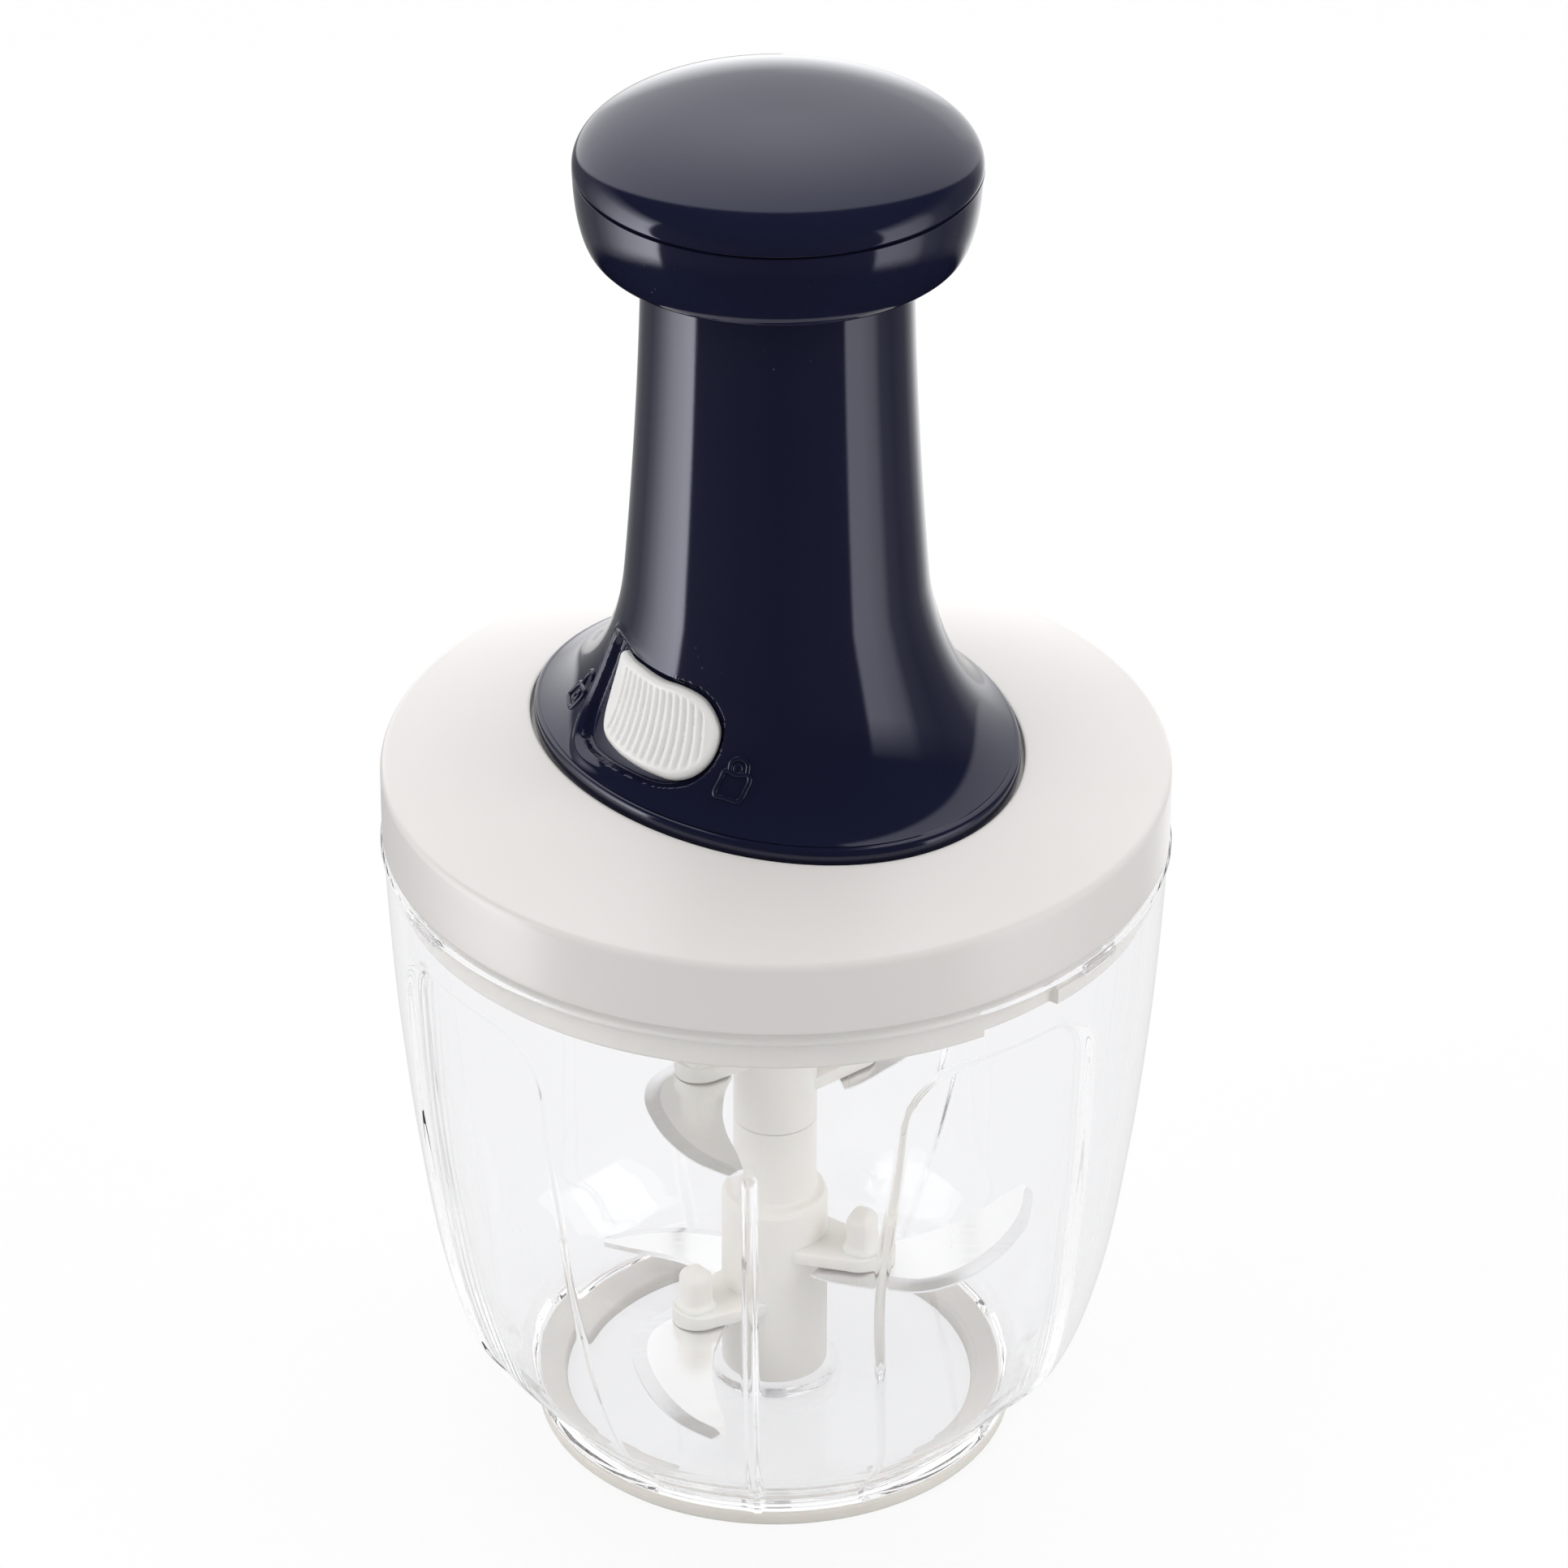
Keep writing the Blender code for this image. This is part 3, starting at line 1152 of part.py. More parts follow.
def column_shell(name, outside, inside):
    """A loft between two offsets of the column's outside."""
    levels = len(column_side(0.0)) - 1
    outer = column_rings(outside, 0, levels)
    inner = column_rings(-inside, 0, levels)
    return loft(name, [*outer, *reversed(inner)], True)


def make_column():
    """The flared column, hollow, with a lock pocket, a slot for its stem and four bosses."""
    outer = []
    inner = []
    for angle in fan(0.0, math.tau, MID_STEPS)[:-1]:
        side = column_side(angle)
        lowest = side[0][1]
        hollow = [(radius, max(height, lowest)) for radius, height in offset_profile(side[1:], COLUMN_WALL)]
        hollow[-1] = (hollow[-1][0], COLUMN_TOP)
        outer.append([(*polar(radius, angle), height) for radius, height in side])
        inner.append([(*polar(radius, angle), height) for radius, height in hollow])
    outer_rings = [list(ring) for ring in zip(*outer)]
    inner_rings = [list(ring) for ring in zip(*inner)]
    column = loft("column", [*outer_rings, *reversed(inner_rings)], True)
    boss_bottom = dome(COLUMN_SCREW_PLACE - COLUMN_BOSS_RADIUS) + FIT
    boss_top = boss_bottom + COLUMN_BOSS_HEIGHT
    for index, place in enumerate(column_screw_places()):
        fuse(column, disc(f"column_boss_{index + 1}", COLUMN_BOSS_RADIUS, boss_bottom, boss_top, SMALL_STEPS, place))
    hole_top = column_screw_seat() + SCREW_GRIP + FIT
    for index, place in enumerate(column_screw_places()):
        cut(column, screw_hole(f"column_boss_hole_{index + 1}", place, LID_EDGE, hole_top))
    pocket_skin = column_shell("pocket_skin", OVERRUN, LOCK_DEPTH + LOCK_POCKET_GAP)
    cut(column, lock_prism("lock_pocket", LOCK_POCKET_GAP, LOCK_TRAVEL, pocket_skin))
    half = LOCK_STEM_SPAN / 2
    slot = sector(PLUNGER_TUBE_RADIUS, FLANGE_HALF_LENGTH, LOCK_BEARING - half - LOCK_TRAVEL - LOCK_PLAY,
                  LOCK_BEARING + half + LOCK_PLAY)
    slot_half = LOCK_STEM_HEIGHT / 2 + FIT
    cut(column, plate("lock_slot", slot, LOCK_HEIGHT - slot_half, LOCK_HEIGHT + slot_half))
    finish(column, NAVY_SURFACE)


def lock_prism(name, grow, travel, skin):
    """The lock's rounded outline raised outwards and kept inside a skin of the column."""
    width = LOCK_HALF_WIDTH + grow
    height = LOCK_HALF_HEIGHT + grow
    left = width + LOCK_SWING_RADIUS * travel
    corners = ((-left, -height), (width, -height), (width, height), (-left, height))
    prism = plate(name, rounded_outline(corners, LOCK_CORNER + grow), 0.0, FLANGE_HALF_LENGTH + OVERRUN)
    base = LOCK_HEIGHT - column_taper(LOCK_HEIGHT) * math.tan(LOCK_ELEVATION)
    reach = (FLANGE_HALF_LENGTH + OVERRUN) / 2
    out = Vector((*polar(math.cos(LOCK_ELEVATION), LOCK_BEARING), math.sin(LOCK_ELEVATION)))
    prism.rotation_euler = (math.pi / 2 - LOCK_ELEVATION, 0.0, LOCK_BEARING + math.pi / 2)
    prism.location = Vector((0.0, 0.0, base)) + out * reach
    return combine(prism, skin, 'INTERSECT')


def make_lock():
    """The ribbed slider in the flare and the bolt behind it."""
    slider = lock_prism("lock_slider", 0.0, 0.0, column_shell("slider_skin", LOCK_PROUD, LOCK_DEPTH))
    half = LOCK_STEM_SPAN / 2
    bolt_inner = PLUNGER_TUBE_RADIUS + RUNNING_GAP
    bolt_outer = bolt_inner + LOCK_BOLT_WIDTH
    stem = sector(bolt_outer + FIT, column_taper(LOCK_HEIGHT) + COLUMN_WALL, LOCK_BEARING - half, LOCK_BEARING + half)
    stem_half = LOCK_STEM_HEIGHT / 2
    fuse(slider, plate("lock_stem", stem, LOCK_HEIGHT - stem_half, LOCK_HEIGHT + stem_half))
    finish(slider, WHITE_SURFACE)
    half = LOCK_BOLT_SPAN / 2
    bolt = sector(bolt_inner, bolt_outer, LOCK_BEARING - half, LOCK_BEARING + half, 8)
    bolt_half = LOCK_BOLT_HEIGHT / 2
    finish(plate("lock_bolt", bolt, LOCK_HEIGHT - bolt_half, LOCK_HEIGHT + bolt_half), ACETAL_SURFACE)


def make_guide_bush():
    """The bush in the column's mouth that guides the plunger and stops its rib."""
    inner = PLUNGER_TUBE_RADIUS + FIT
    outer = COLUMN_TOP_RADIUS - COLUMN_WALL - FIT
    shelf = COLUMN_TOP + FIT
    flange_top = shelf + GUIDE_BUSH_FLANGE
    flange = COLUMN_TOP_RADIUS - FIT
    bush = turned("guide_bush", (
        (flange, flange_top), (flange, shelf), (outer, shelf), (outer, GUIDE_BUSH_BOTTOM),
        (inner, GUIDE_BUSH_BOTTOM), (inner, flange_top),
    ), MID_STEPS, True)
    finish(bush, ACETAL_SURFACE)


# Plunger and knob


def knob_screw_places():
    """Where the screws go that hold the carrier in the knob."""
    return around(KNOB_SCREW_COUNT, KNOB_SCREW_PLACE, math.pi / 6)


def make_plunger_tube():
    """The carrier disc and the sliding tube that hangs from it, with its stop rib."""
    outer = PLUNGER_TUBE_RADIUS
    inner = outer - PLUNGER_TUBE_WALL
    rib = outer + STOP_RIB_WIDTH
    rib_bottom = STOP_RIB_TOP - STOP_RIB_HEIGHT
    hole = NUT_TUBE_RADIUS + FIT
    plunger = turned("plunger_tube", (
        (CARRIER_RADIUS, CARRIER_TOP), (CARRIER_RADIUS, CARRIER_BOTTOM), (outer, CARRIER_BOTTOM),
        (outer, STOP_RIB_TOP), (rib, STOP_RIB_TOP), (rib, rib_bottom), (outer, rib_bottom),
        (outer, PLUNGER_TUBE_BOTTOM), (inner, PLUNGER_TUBE_BOTTOM), (inner, CARRIER_BOTTOM),
        (hole, CARRIER_BOTTOM), (hole, CARRIER_TOP),
    ), MID_STEPS, True)
    for index, place in enumerate(knob_screw_places()):
        cut(plunger, screw_hole(f"carrier_hole_{index + 1}", place, COLUMN_TOP, KNOB_SEAM))
    finish(plunger, ACETAL_SURFACE)


def make_main_spring():
    """The return spring between the clutch housing and the carrier."""
    spring = helix("main_spring", SPRING_RADIUS, SPRING_WIRE, HOUSING_TOP + FIT, CARRIER_BOTTOM - FIT,
                   SPRING_TURNS)
    finish(spring, STEEL_SURFACE)


def cup_side():
    """Points of (radius, height) up the knob cup's outside."""
    top = KNOB_SEAM - KNOB_SEAM_GAP / 2
    swell = KNOB_RADIUS - KNOB_UNDERSIDE_RADIUS
    return [(KNOB_UNDERSIDE_RADIUS + swell * out, KNOB_UNDERSIDE + (top - KNOB_UNDERSIDE) * up)
            for up, out in KNOB_CUP_SIDE_SHARES]


def make_knob_cup():
    """The lower shell of the knob, open in the middle for the column, with screw bosses."""
    side = cup_side()
    floor = KNOB_UNDERSIDE + KNOB_WALL
    wall = [(radius, max(height, floor)) for radius, height in offset_profile(side, KNOB_WALL)]
    wall = [point for point in wall[1:] if point[1] > floor]
    wall[-1] = (wall[-1][0], side[-1][1])
    profile = [*reversed(side), (KNOB_OPENING_RADIUS, KNOB_UNDERSIDE), (KNOB_OPENING_RADIUS, floor),
               (wall[0][0] - FIT, floor), *wall]
    cup = turned("knob_cup", profile, MID_STEPS, True)
    boss_top = CARRIER_BOTTOM - FIT
    for index, place in enumerate(knob_screw_places()):
        fuse(cup, disc(f"knob_boss_{index + 1}", KNOB_BOSS_RADIUS, KNOB_UNDERSIDE + KNOB_WALL / 2, boss_top,
                       SMALL_STEPS, place))
    hole_bottom = CARRIER_TOP - SCREW_GRIP
    for index, place in enumerate(knob_screw_places()):
        cut(cup, screw_hole(f"knob_boss_hole_{index + 1}", place, hole_bottom, CARRIER_TOP))
    finish(cup, NAVY_SURFACE)


def make_knob_cap():
    """The domed top shell of the knob with the lip that snaps into the cup."""
    bottom = KNOB_SEAM + KNOB_SEAM_GAP / 2
    rise = KNOB_CROWN - bottom
    sweep = fan(0.0, math.pi / 2, 7)
    outside = [(KNOB_RADIUS * math.sin(a) ** (2 / KNOB_POWER), bottom + rise * math.cos(a)) for a in sweep]
    inner_radius = KNOB_RADIUS - KNOB_WALL
    inner_rise = rise - KNOB_WALL
    inside = [(inner_radius * math.sin(a) ** (2 / KNOB_POWER), bottom + inner_rise * math.cos(a)) for a in sweep]
    lip_outer = cup_lip_radius() - FIT
    lip_inner = lip_outer - CAP_LIP_WALL
    lip_bottom = bottom - CAP_LIP_DEPTH
    inside[-1] = (lip_inner, inside[-2][1])
    profile = [*outside, (lip_outer, bottom), (lip_outer, lip_bottom), (lip_inner, lip_bottom),
               *[point for point in reversed(inside) if point[0] <= lip_inner]]
    finish(turned("knob_cap", profile, MID_STEPS), NAVY_SURFACE)


def cup_lip_radius():
    """Smallest inner radius of the cup where the cap's lip goes in."""
    side = cup_side()
    return side[-2][0] - KNOB_WALL


def make_knob_screws():
    """The screws that hold the carrier in the knob's cup, driven from above."""
    for index, place in enumerate(knob_screw_places()):
        seat = CARRIER_TOP + FIT
        head = seat + SCREW_HEAD_HEIGHT
        tip = seat - SCREW_GRIP
        profile = (
            (0.0, head), (SCREW_RADIUS, head), (SCREW_HEAD_RADIUS, seat), (SCREW_RADIUS, seat),
            (SCREW_RADIUS, tip + SCREW_RADIUS), (0.0, tip),
        )
        finish(turned(f"knob_screw_{index + 1}", profile, SCREW_STEPS, False, place), STEEL_SURFACE)


NAVY_SURFACE = material("navy_gloss", NAVY)
WHITE_SURFACE = material("white_gloss", WHITE)
HUB_SURFACE = material("white_plastic", WHITE)
STEEL_SURFACE = material("satin_steel", STEEL)
ACETAL_SURFACE = material("acetal", ACETAL)

make_bowl()
make_ring()
make_pin()
make_hubs()
make_blades()
make_shaft()
make_lid_cover()
make_lid_base()
make_gasket()
make_lid_screws()
make_bush()
make_coupler()
make_driver()
make_clutch_spring()
make_housing()
make_washer()
make_spindle()
make_nut()
make_nut_tube()
make_column()
make_lock()
make_guide_bush()
make_plunger_tube()
make_main_spring()
make_knob_cup()
make_knob_cap()
make_knob_screws()
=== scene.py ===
"""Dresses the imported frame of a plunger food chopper: bowl, blades, lid, column, lock and knob."""

import logging
import math
from dataclasses import dataclass
from enum import Enum

import bmesh
import bpy
import numpy as np
from mathutils import Matrix, Vector


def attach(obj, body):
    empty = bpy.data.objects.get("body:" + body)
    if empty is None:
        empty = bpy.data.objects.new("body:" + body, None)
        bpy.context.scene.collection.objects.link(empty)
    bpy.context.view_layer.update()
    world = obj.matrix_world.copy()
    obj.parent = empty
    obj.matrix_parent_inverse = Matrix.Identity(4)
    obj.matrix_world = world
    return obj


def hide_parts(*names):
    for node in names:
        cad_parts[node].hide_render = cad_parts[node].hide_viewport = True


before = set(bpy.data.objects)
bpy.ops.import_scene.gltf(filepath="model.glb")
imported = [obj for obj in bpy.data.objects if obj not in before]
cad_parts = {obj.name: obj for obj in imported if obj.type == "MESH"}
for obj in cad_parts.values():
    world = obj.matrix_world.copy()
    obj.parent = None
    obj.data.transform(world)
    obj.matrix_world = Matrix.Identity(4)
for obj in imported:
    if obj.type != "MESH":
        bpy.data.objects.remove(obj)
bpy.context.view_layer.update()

Array = np.ndarray
Colour = tuple[float, float, float]
Pairs = tuple[tuple[float, float], ...]
Socket = bpy.types.NodeSocket
LOG = logging.getLogger("chopper")
THIRD = math.tau / 3
SHARP_ANGLE = math.radians(48)
SAME_PLACE = 2e-7
CURVE_STEPS = 24
CORNER_STEPS = 5
WIRE_SIDES = 12


class Body(Enum):
    """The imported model's bodies that carry pieces."""

    BOWL = "bowl"
    LID = "lid"
    PLUNGER = "plunger"
    BLADES = "blades"
    LOCK = "lock"


# Curves and surfaces


def around(count: int) -> Array:
    """Angles of one turn in equal steps."""
    return np.linspace(0, math.tau, count, endpoint=False)


def polar(radius: Array, angle: Array, height: Array) -> Array:
    """Points (r cos a, r sin a, z) of radii, angles and heights that are broadcast together."""
    r, a, z = np.broadcast_arrays(radius, angle, height)
    return np.stack((r * np.cos(a), r * np.sin(a), z), axis=-1)


def spun(profile: Array, angles: Array) -> Array:
    """Rows of a turned profile of (radius, height): point (i, j) = polar(radius i, angle j, height i)."""
    section = np.asarray(profile, float)
    return polar(section[:, :1], angles, section[:, 1:])


def spread(*spans: tuple[float, float, int]) -> Array:
    """Join even runs of numbers, each (first, last, count)."""
    return np.concatenate([np.linspace(*span) for span in spans])


def step_between(value: Array, low: float, high: float) -> Array:
    """Rise from 0 at low to 1 at high with level ends: 3t^2 - 2t^3."""
    share = np.clip((value - low) / (high - low), 0.0, 1.0)
    return share * share * (3.0 - 2.0 * share)


def unit(vectors: Array) -> Array:
    """Vectors made one unit long."""
    return vectors / np.linalg.norm(vectors, axis=-1, keepdims=True)


def round_box(count: int, power: float) -> Array:
    """The x and the y of a box with round corners, from -1 to 1: sign(w) |w|^p of the cosine and the sine."""
    wave = np.stack((np.cos(around(count)), np.sin(around(count))))
    return np.sign(wave) * np.abs(wave) ** power


def flow(knots: Array, at: Array) -> Array:
    """Read a smooth curve that runs through knots and never overshoots them.

    Each span is a cubic whose end slopes are the harmonic means of the slopes beside the knot.

    Args:
        knots: rows of (place, value), with the place rising.
        at: places to read.

    Returns:
        The curve's values.
    """
    place, value = np.asarray(knots, float).T
    span = np.diff(place)
    slope = np.diff(value) / span
    product, total = slope[:-1] * slope[1:], slope[:-1] + slope[1:]
    inner = np.where(product > 0, 2 * product / np.where(np.abs(total) < 1e-12, 1.0, total), 0.0)
    tangent = np.concatenate((slope[:1], inner, slope[-1:]))
    index = np.clip(np.searchsorted(place, at, side="right") - 1, 0, len(span) - 1)
    t = np.clip((at - place[index]) / span[index], 0.0, 1.0)
    ease = 3 * t**2 - 2 * t**3
    lean = tangent[index] * (t**3 - 2 * t**2 + t) + tangent[index + 1] * (t**3 - t**2)
    return value[index] * (1 - ease) + value[index + 1] * ease + span[index] * lean


def through(rows: Pairs, count: int) -> Array:
    """Run an open smooth path through rows, each column by flow over even knots."""
    knots, at = np.linspace(0, 1, len(rows)), np.linspace(0, 1, count)
    return np.stack([flow(np.stack((knots, column), axis=1), at) for column in np.array(rows).T], axis=1)


def even_steps(path: Array, count: int) -> Array:
    """Read a path of points again at equal steps of its length, ends included."""
    run = np.concatenate(([0.0], np.cumsum(np.linalg.norm(np.diff(path, axis=0), axis=1))))
    return np.stack([np.interp(np.linspace(0, run[-1], count), run, column) for column in path.T], axis=1)


def closed_curve(corners: Array, count: int) -> Array:
    """Run an even closed curve through corners: a Catmull-Rom loop, then equal steps of length.

    Args:
        corners: the points that it passes, in order.
        count: how many points to return.

    Returns:
        Points of the loop, without the first repeated.
    """
    p0, p1, p2, p3 = (np.roll(corners, shift, 0)[:, None] for shift in (1, 0, -1, -2))
    t = np.linspace(0, 1, CURVE_STEPS, endpoint=False)[None, :, None]
    fine = 0.5 * (
        2 * p1 + (p2 - p0) * t + (2 * p0 - 5 * p1 + 4 * p2 - p3) * t**2 + (3 * p1 - p0 - 3 * p2 + p3) * t**3
    )
    loop = fine.reshape(-1, 2)
    return even_steps(np.vstack((loop, loop[:1])), count + 1)[:-1]


def soften(profile: Array, reach: float, closed: bool = True) -> Array:
    """Round every corner of a profile by a parabola tangent to both sides.

    A corner p becomes (1-t)^2 a + 2t(1-t) p + t^2 b, where a and b lie on its sides at the reach from p.

    Args:
        profile: corners of (radius, height) in order.
        reach: how far from its corner each rounding starts.
        closed: whether the last corner joins the first.

    Returns:
        The rounded profile. An open one keeps its ends.
    """
    here = np.asarray(profile, float)
    ends = []
    for shift in (1, -1):
        side = np.roll(here, shift, 0) - here
        share = np.minimum(reach / np.linalg.norm(side, axis=1, keepdims=True), 0.45)
        ends.append((here + side * share)[:, None])
    t = np.linspace(0, 1, CORNER_STEPS + 1)[None, :, None]
    bend = (1 - t) ** 2 * ends[0] + 2 * t * (1 - t) * here[:, None] + t**2 * ends[1]
    return bend.reshape(-1, 2) if closed else np.vstack((here[:1], bend[1:-1].reshape(-1, 2), here[-1:]))


@dataclass
class Skin:
    """Closed surfaces as points and four-cornered faces, with a blade's share of bevel at each point."""

    points: Array
    faces: Array
    ground: Array | None = None

    @classmethod
    def grid(cls, points: Array, wrap_rows: bool = False, cap: bool = False) -> "Skin":
        """Join neighbours in a grid whose columns go round, and turn all faces outwards.

        Faces a b c d enclose the sum of a . (b x c + c x d), whose sign says which way they face.

        Args:
            points: an array of rows, columns and coordinates.
            wrap_rows: whether the last row joins the first.
            cap: whether each end row is closed by its middle point.

        Returns:
            The skin.
        """
        if cap:
            ends = [np.broadcast_to(row.mean(axis=0), row.shape)[None] for row in (points[0], points[-1])]
            points = np.concatenate((ends[0], points, ends[1]))
        index = np.arange(points[..., 0].size).reshape(points.shape[:2])
        low, high = (index, np.roll(index, -1, 0)) if wrap_rows else (index[:-1], index[1:])
        faces = np.stack((low, np.roll(low, -1, 1), np.roll(high, -1, 1), high), axis=-1).reshape(-1, 4)
        flat = points.reshape(-1, 3)
        a, b, c, d = (flat[faces[:, corner]] for corner in range(4))
        volume = np.sum(a * (np.cross(b, c) + np.cross(c, d)))
        return cls(flat, faces if volume >= 0 else faces[:, ::-1])

    def __add__(self, other: "Skin") -> "Skin":
        """Hold two skins as one."""
        return Skin(
            np.vstack((self.points, other.points)), np.vstack((self.faces, other.faces + len(self.points)))
        )

    def turned(self, angle: float) -> "Skin":
        """Turn the skin about +Z by an angle in radians."""
        c, s = math.cos(angle), math.sin(angle)
        return Skin(self.points @ np.array(((c, s, 0), (-s, c, 0), (0, 0, 1))), self.faces)

    def mesh(self, name: str) -> bpy.types.Object:
        """Make the object: points at one place are joined, which closes poles, and sharp turns are marked.

        Args:
            name: the piece's name.

        Returns:
            The object, at the origin.
        """
        made = bpy.data.meshes.new(name)
        made.vertices.add(len(self.points))
        made.vertices.foreach_set("co", self.points.astype(np.float32).ravel())
        made.loops.add(self.faces.size)
        made.loops.foreach_set("vertex_index", self.faces.astype(np.int32).ravel())
        made.polygons.add(len(self.faces))
        made.polygons.foreach_set("loop_start", np.arange(0, self.faces.size, 4, dtype=np.int32))
        made.update(calc_edges=True)
        if self.ground is not None:
            made.attributes.new("ground", "FLOAT", "POINT").data.foreach_set(
                "value", self.ground.astype(np.float32)
            )
        work = bmesh.new()
        work.from_mesh(made)
        bmesh.ops.remove_doubles(work, verts=work.verts, dist=SAME_PLACE)
        work.to_mesh(made)
        work.free()
        made.shade_smooth()
        made.set_sharp_from_angle(angle=SHARP_ANGLE)
        piece = bpy.data.objects.new(name, made)
        bpy.context.scene.collection.objects.link(piece)
        return piece


def lathe(profile: Array, closed: bool = True, steps: int = 192) -> Skin:
    """Turn a profile of (radius, height), which is a loop or else runs from the axis to the axis."""
    return Skin.grid(spun(profile, around(steps)), wrap_rows=closed)


def wire(centre: Array, side: Array, up: Array, closed: bool = False) -> Skin:
    """Carry an ellipse along a path: centre + cos(a) side + sin(a) up."""
    a = around(WIRE_SIDES)[None, :, None]
    return Skin.grid(
        centre[:, None] + np.cos(a) * side[:, None] + np.sin(a) * up[:, None], closed, not closed
    )


# Finishes


class Graph:
    """A node tree with short ways to add nodes that are already joined."""

    def __init__(self, tree: bpy.types.ShaderNodeTree) -> None:
        """Hold a tree."""
        self.tree = tree

    def feed(self, node: bpy.types.Node, inputs: dict[str | int, object]) -> None:
        """Join sockets to a node's inputs, and set its other inputs to values.

        Args:
            node: the node.
            inputs: a socket, a number or a colour for each input's name or place.
        """
        for key, value in inputs.items():
            if isinstance(value, Socket):
                self.tree.links.new(value, node.inputs[key])
            else:
                node.inputs[key].default_value = (*value, 1.0) if node.inputs[key].type == "RGBA" else value

    def add(
        self, kind: str, inputs: dict[str | int, object] | None = None, **fields: object
    ) -> bpy.types.Node:
        """Add a node.

        Args:
            kind: its type name after ShaderNode.
            inputs: what feeds it.
            fields: its fields by name.

        Returns:
            The node.
        """
        node = self.tree.nodes.new(f"ShaderNode{kind}")
        for key, value in fields.items():
            setattr(node, key, value)
        self.feed(node, inputs or {})
        return node

    def math(self, operation: str, *values: Socket | float, clamp: bool = False) -> Socket:
        """Add a Math node and give its result."""
        return self.add("Math", dict(enumerate(values)), operation=operation, use_clamp=clamp).outputs[0]

    def mix(self, share: Socket, first: object, second: object, colours: bool = True) -> Socket:
        """Mix two colours or two numbers by a mask, where 0 gives the first."""
        place, kind, out = (6, "RGBA", 2) if colours else (2, "FLOAT", 0)
        return self.add("Mix", {0: share, place: first, place + 1: second}, data_type=kind).outputs[out]

    def remap(self, value: Socket, *ends: float, curve: str = "LINEAR") -> Socket:
        """Map a range to 0 to 1, or to a second range given after it."""
        names = ("From Min", "From Max", "To Min", "To Max")
        return self.add(
            "MapRange", {"Value": value, **dict(zip(names, ends))}, interpolation_type=curve
        ).outputs[0]

    def noise(self, vector: Socket, scale: Socket | float, detail: float, roughness: float = 0.5) -> Socket:
        """Add a noise texture and give its value."""
        inputs = {"Vector": vector, "Scale": scale, "Detail": detail, "Roughness": roughness}
        return self.add("TexNoise", inputs).outputs["Fac"]

    def bump(self, height: Socket, strength: float, distance: float) -> Socket:
        """Add a Bump node and give its normal."""
        return self.add("Bump", {"Height": height, "Strength": strength, "Distance": distance}).outputs[0]

    def show(self, share: Socket, first: Socket, second: Socket) -> None:
        """Show a mix of two shaders by a mask as the material's surface."""
        both = self.add("MixShader", {0: share, 1: first, 2: second})
        self.feed(self.tree.nodes["Material Output"], {"Surface": both.outputs[0]})


def new_group(
    name: str, inputs: dict[str, float], outputs: tuple[str, ...]
) -> tuple[Graph, tuple, bpy.types.Node]:
    """Start a node group that reads a Vector and numbers, and gives numbers.

    Args:
        name: the group's name.
        inputs: each number's name and default.
        outputs: the names of what it gives.

    Returns:
        The group, its input sockets and its output node.
    """
    tree = bpy.data.node_groups.new(name, "ShaderNodeTree")
    tree.interface.new_socket("Vector", in_out="INPUT", socket_type="NodeSocketVector")
    for label, default in inputs.items():
        tree.interface.new_socket(
            label, in_out="INPUT", socket_type="NodeSocketFloat"
        ).default_value = default
    for label in outputs:
        tree.interface.new_socket(label, in_out="OUTPUT", socket_type="NodeSocketFloat")
    start, end = tree.nodes.new("NodeGroupInput"), tree.nodes.new("NodeGroupOutput")
    return Graph(tree), tuple(start.outputs[: len(inputs) + 1]), end


def moulding_group() -> bpy.types.ShaderNodeTree:
    """Build the moulded plastic's skin: slow waves in its gloss, a faint ripple and fine specks.

    Returns:
        A group from Vector, Size, Roughness and Swing to Roughness, Height and Tone.
    """
    defaults = {"Size": 40.0, "Roughness": 0.2, "Swing": 0.05}
    graph, (vector, size, roughness, swing), end = new_group(
        "moulded_skin", defaults, ("Roughness", "Height", "Tone")
    )
    wave = graph.noise(vector, size, 2.0, 0.4)
    fine = graph.noise(vector, 900.0, 2.0)
    swung = graph.math("MULTIPLY", graph.math("SUBTRACT", wave, 0.5), swing)
    graph.feed(end, {
        "Roughness": graph.math("ADD", swung, roughness, clamp=True),
        "Height": graph.math("MULTIPLY_ADD", fine, 0.12, wave),
        "Tone": wave,
    })
    return graph.tree


def handling_group() -> bpy.types.ShaderNodeTree:
    """Build handling marks: hairline scratches in two directions and a thin scatter of dust.

    Returns:
        A group from Vector and Amount to Scratch and Dust masks.
    """
    graph, (vector, amount), end = new_group("handling_marks", {"Amount": 0.5}, ("Scratch", "Dust"))
    lines = []
    for turn in (0.4, 1.9):
        stretch = {"Vector": vector, "Rotation": (0.3, turn, 0.7 * turn), "Scale": (900.0, 24.0, 24.0)}
        place = graph.add("Mapping", stretch).outputs[0]
        lines.append(graph.remap(graph.noise(place, 1.0, 1.0), 0.70, 0.78))
    grains = graph.add("TexVoronoi", {"Vector": vector, "Scale": 420.0}).outputs["Distance"]
    clumps = graph.remap(graph.noise(vector, 60.0, 2.0), 0.58, 0.75)
    dust = graph.math("MULTIPLY", graph.remap(grains, 0.10, 0.05), clumps)
    for label, mask in (("Scratch", graph.math("MAXIMUM", *lines)), ("Dust", dust)):
        graph.feed(end, {label: graph.math("MULTIPLY", mask, amount)})
    return graph.tree


MOULDING = moulding_group()
HANDLING = handling_group()


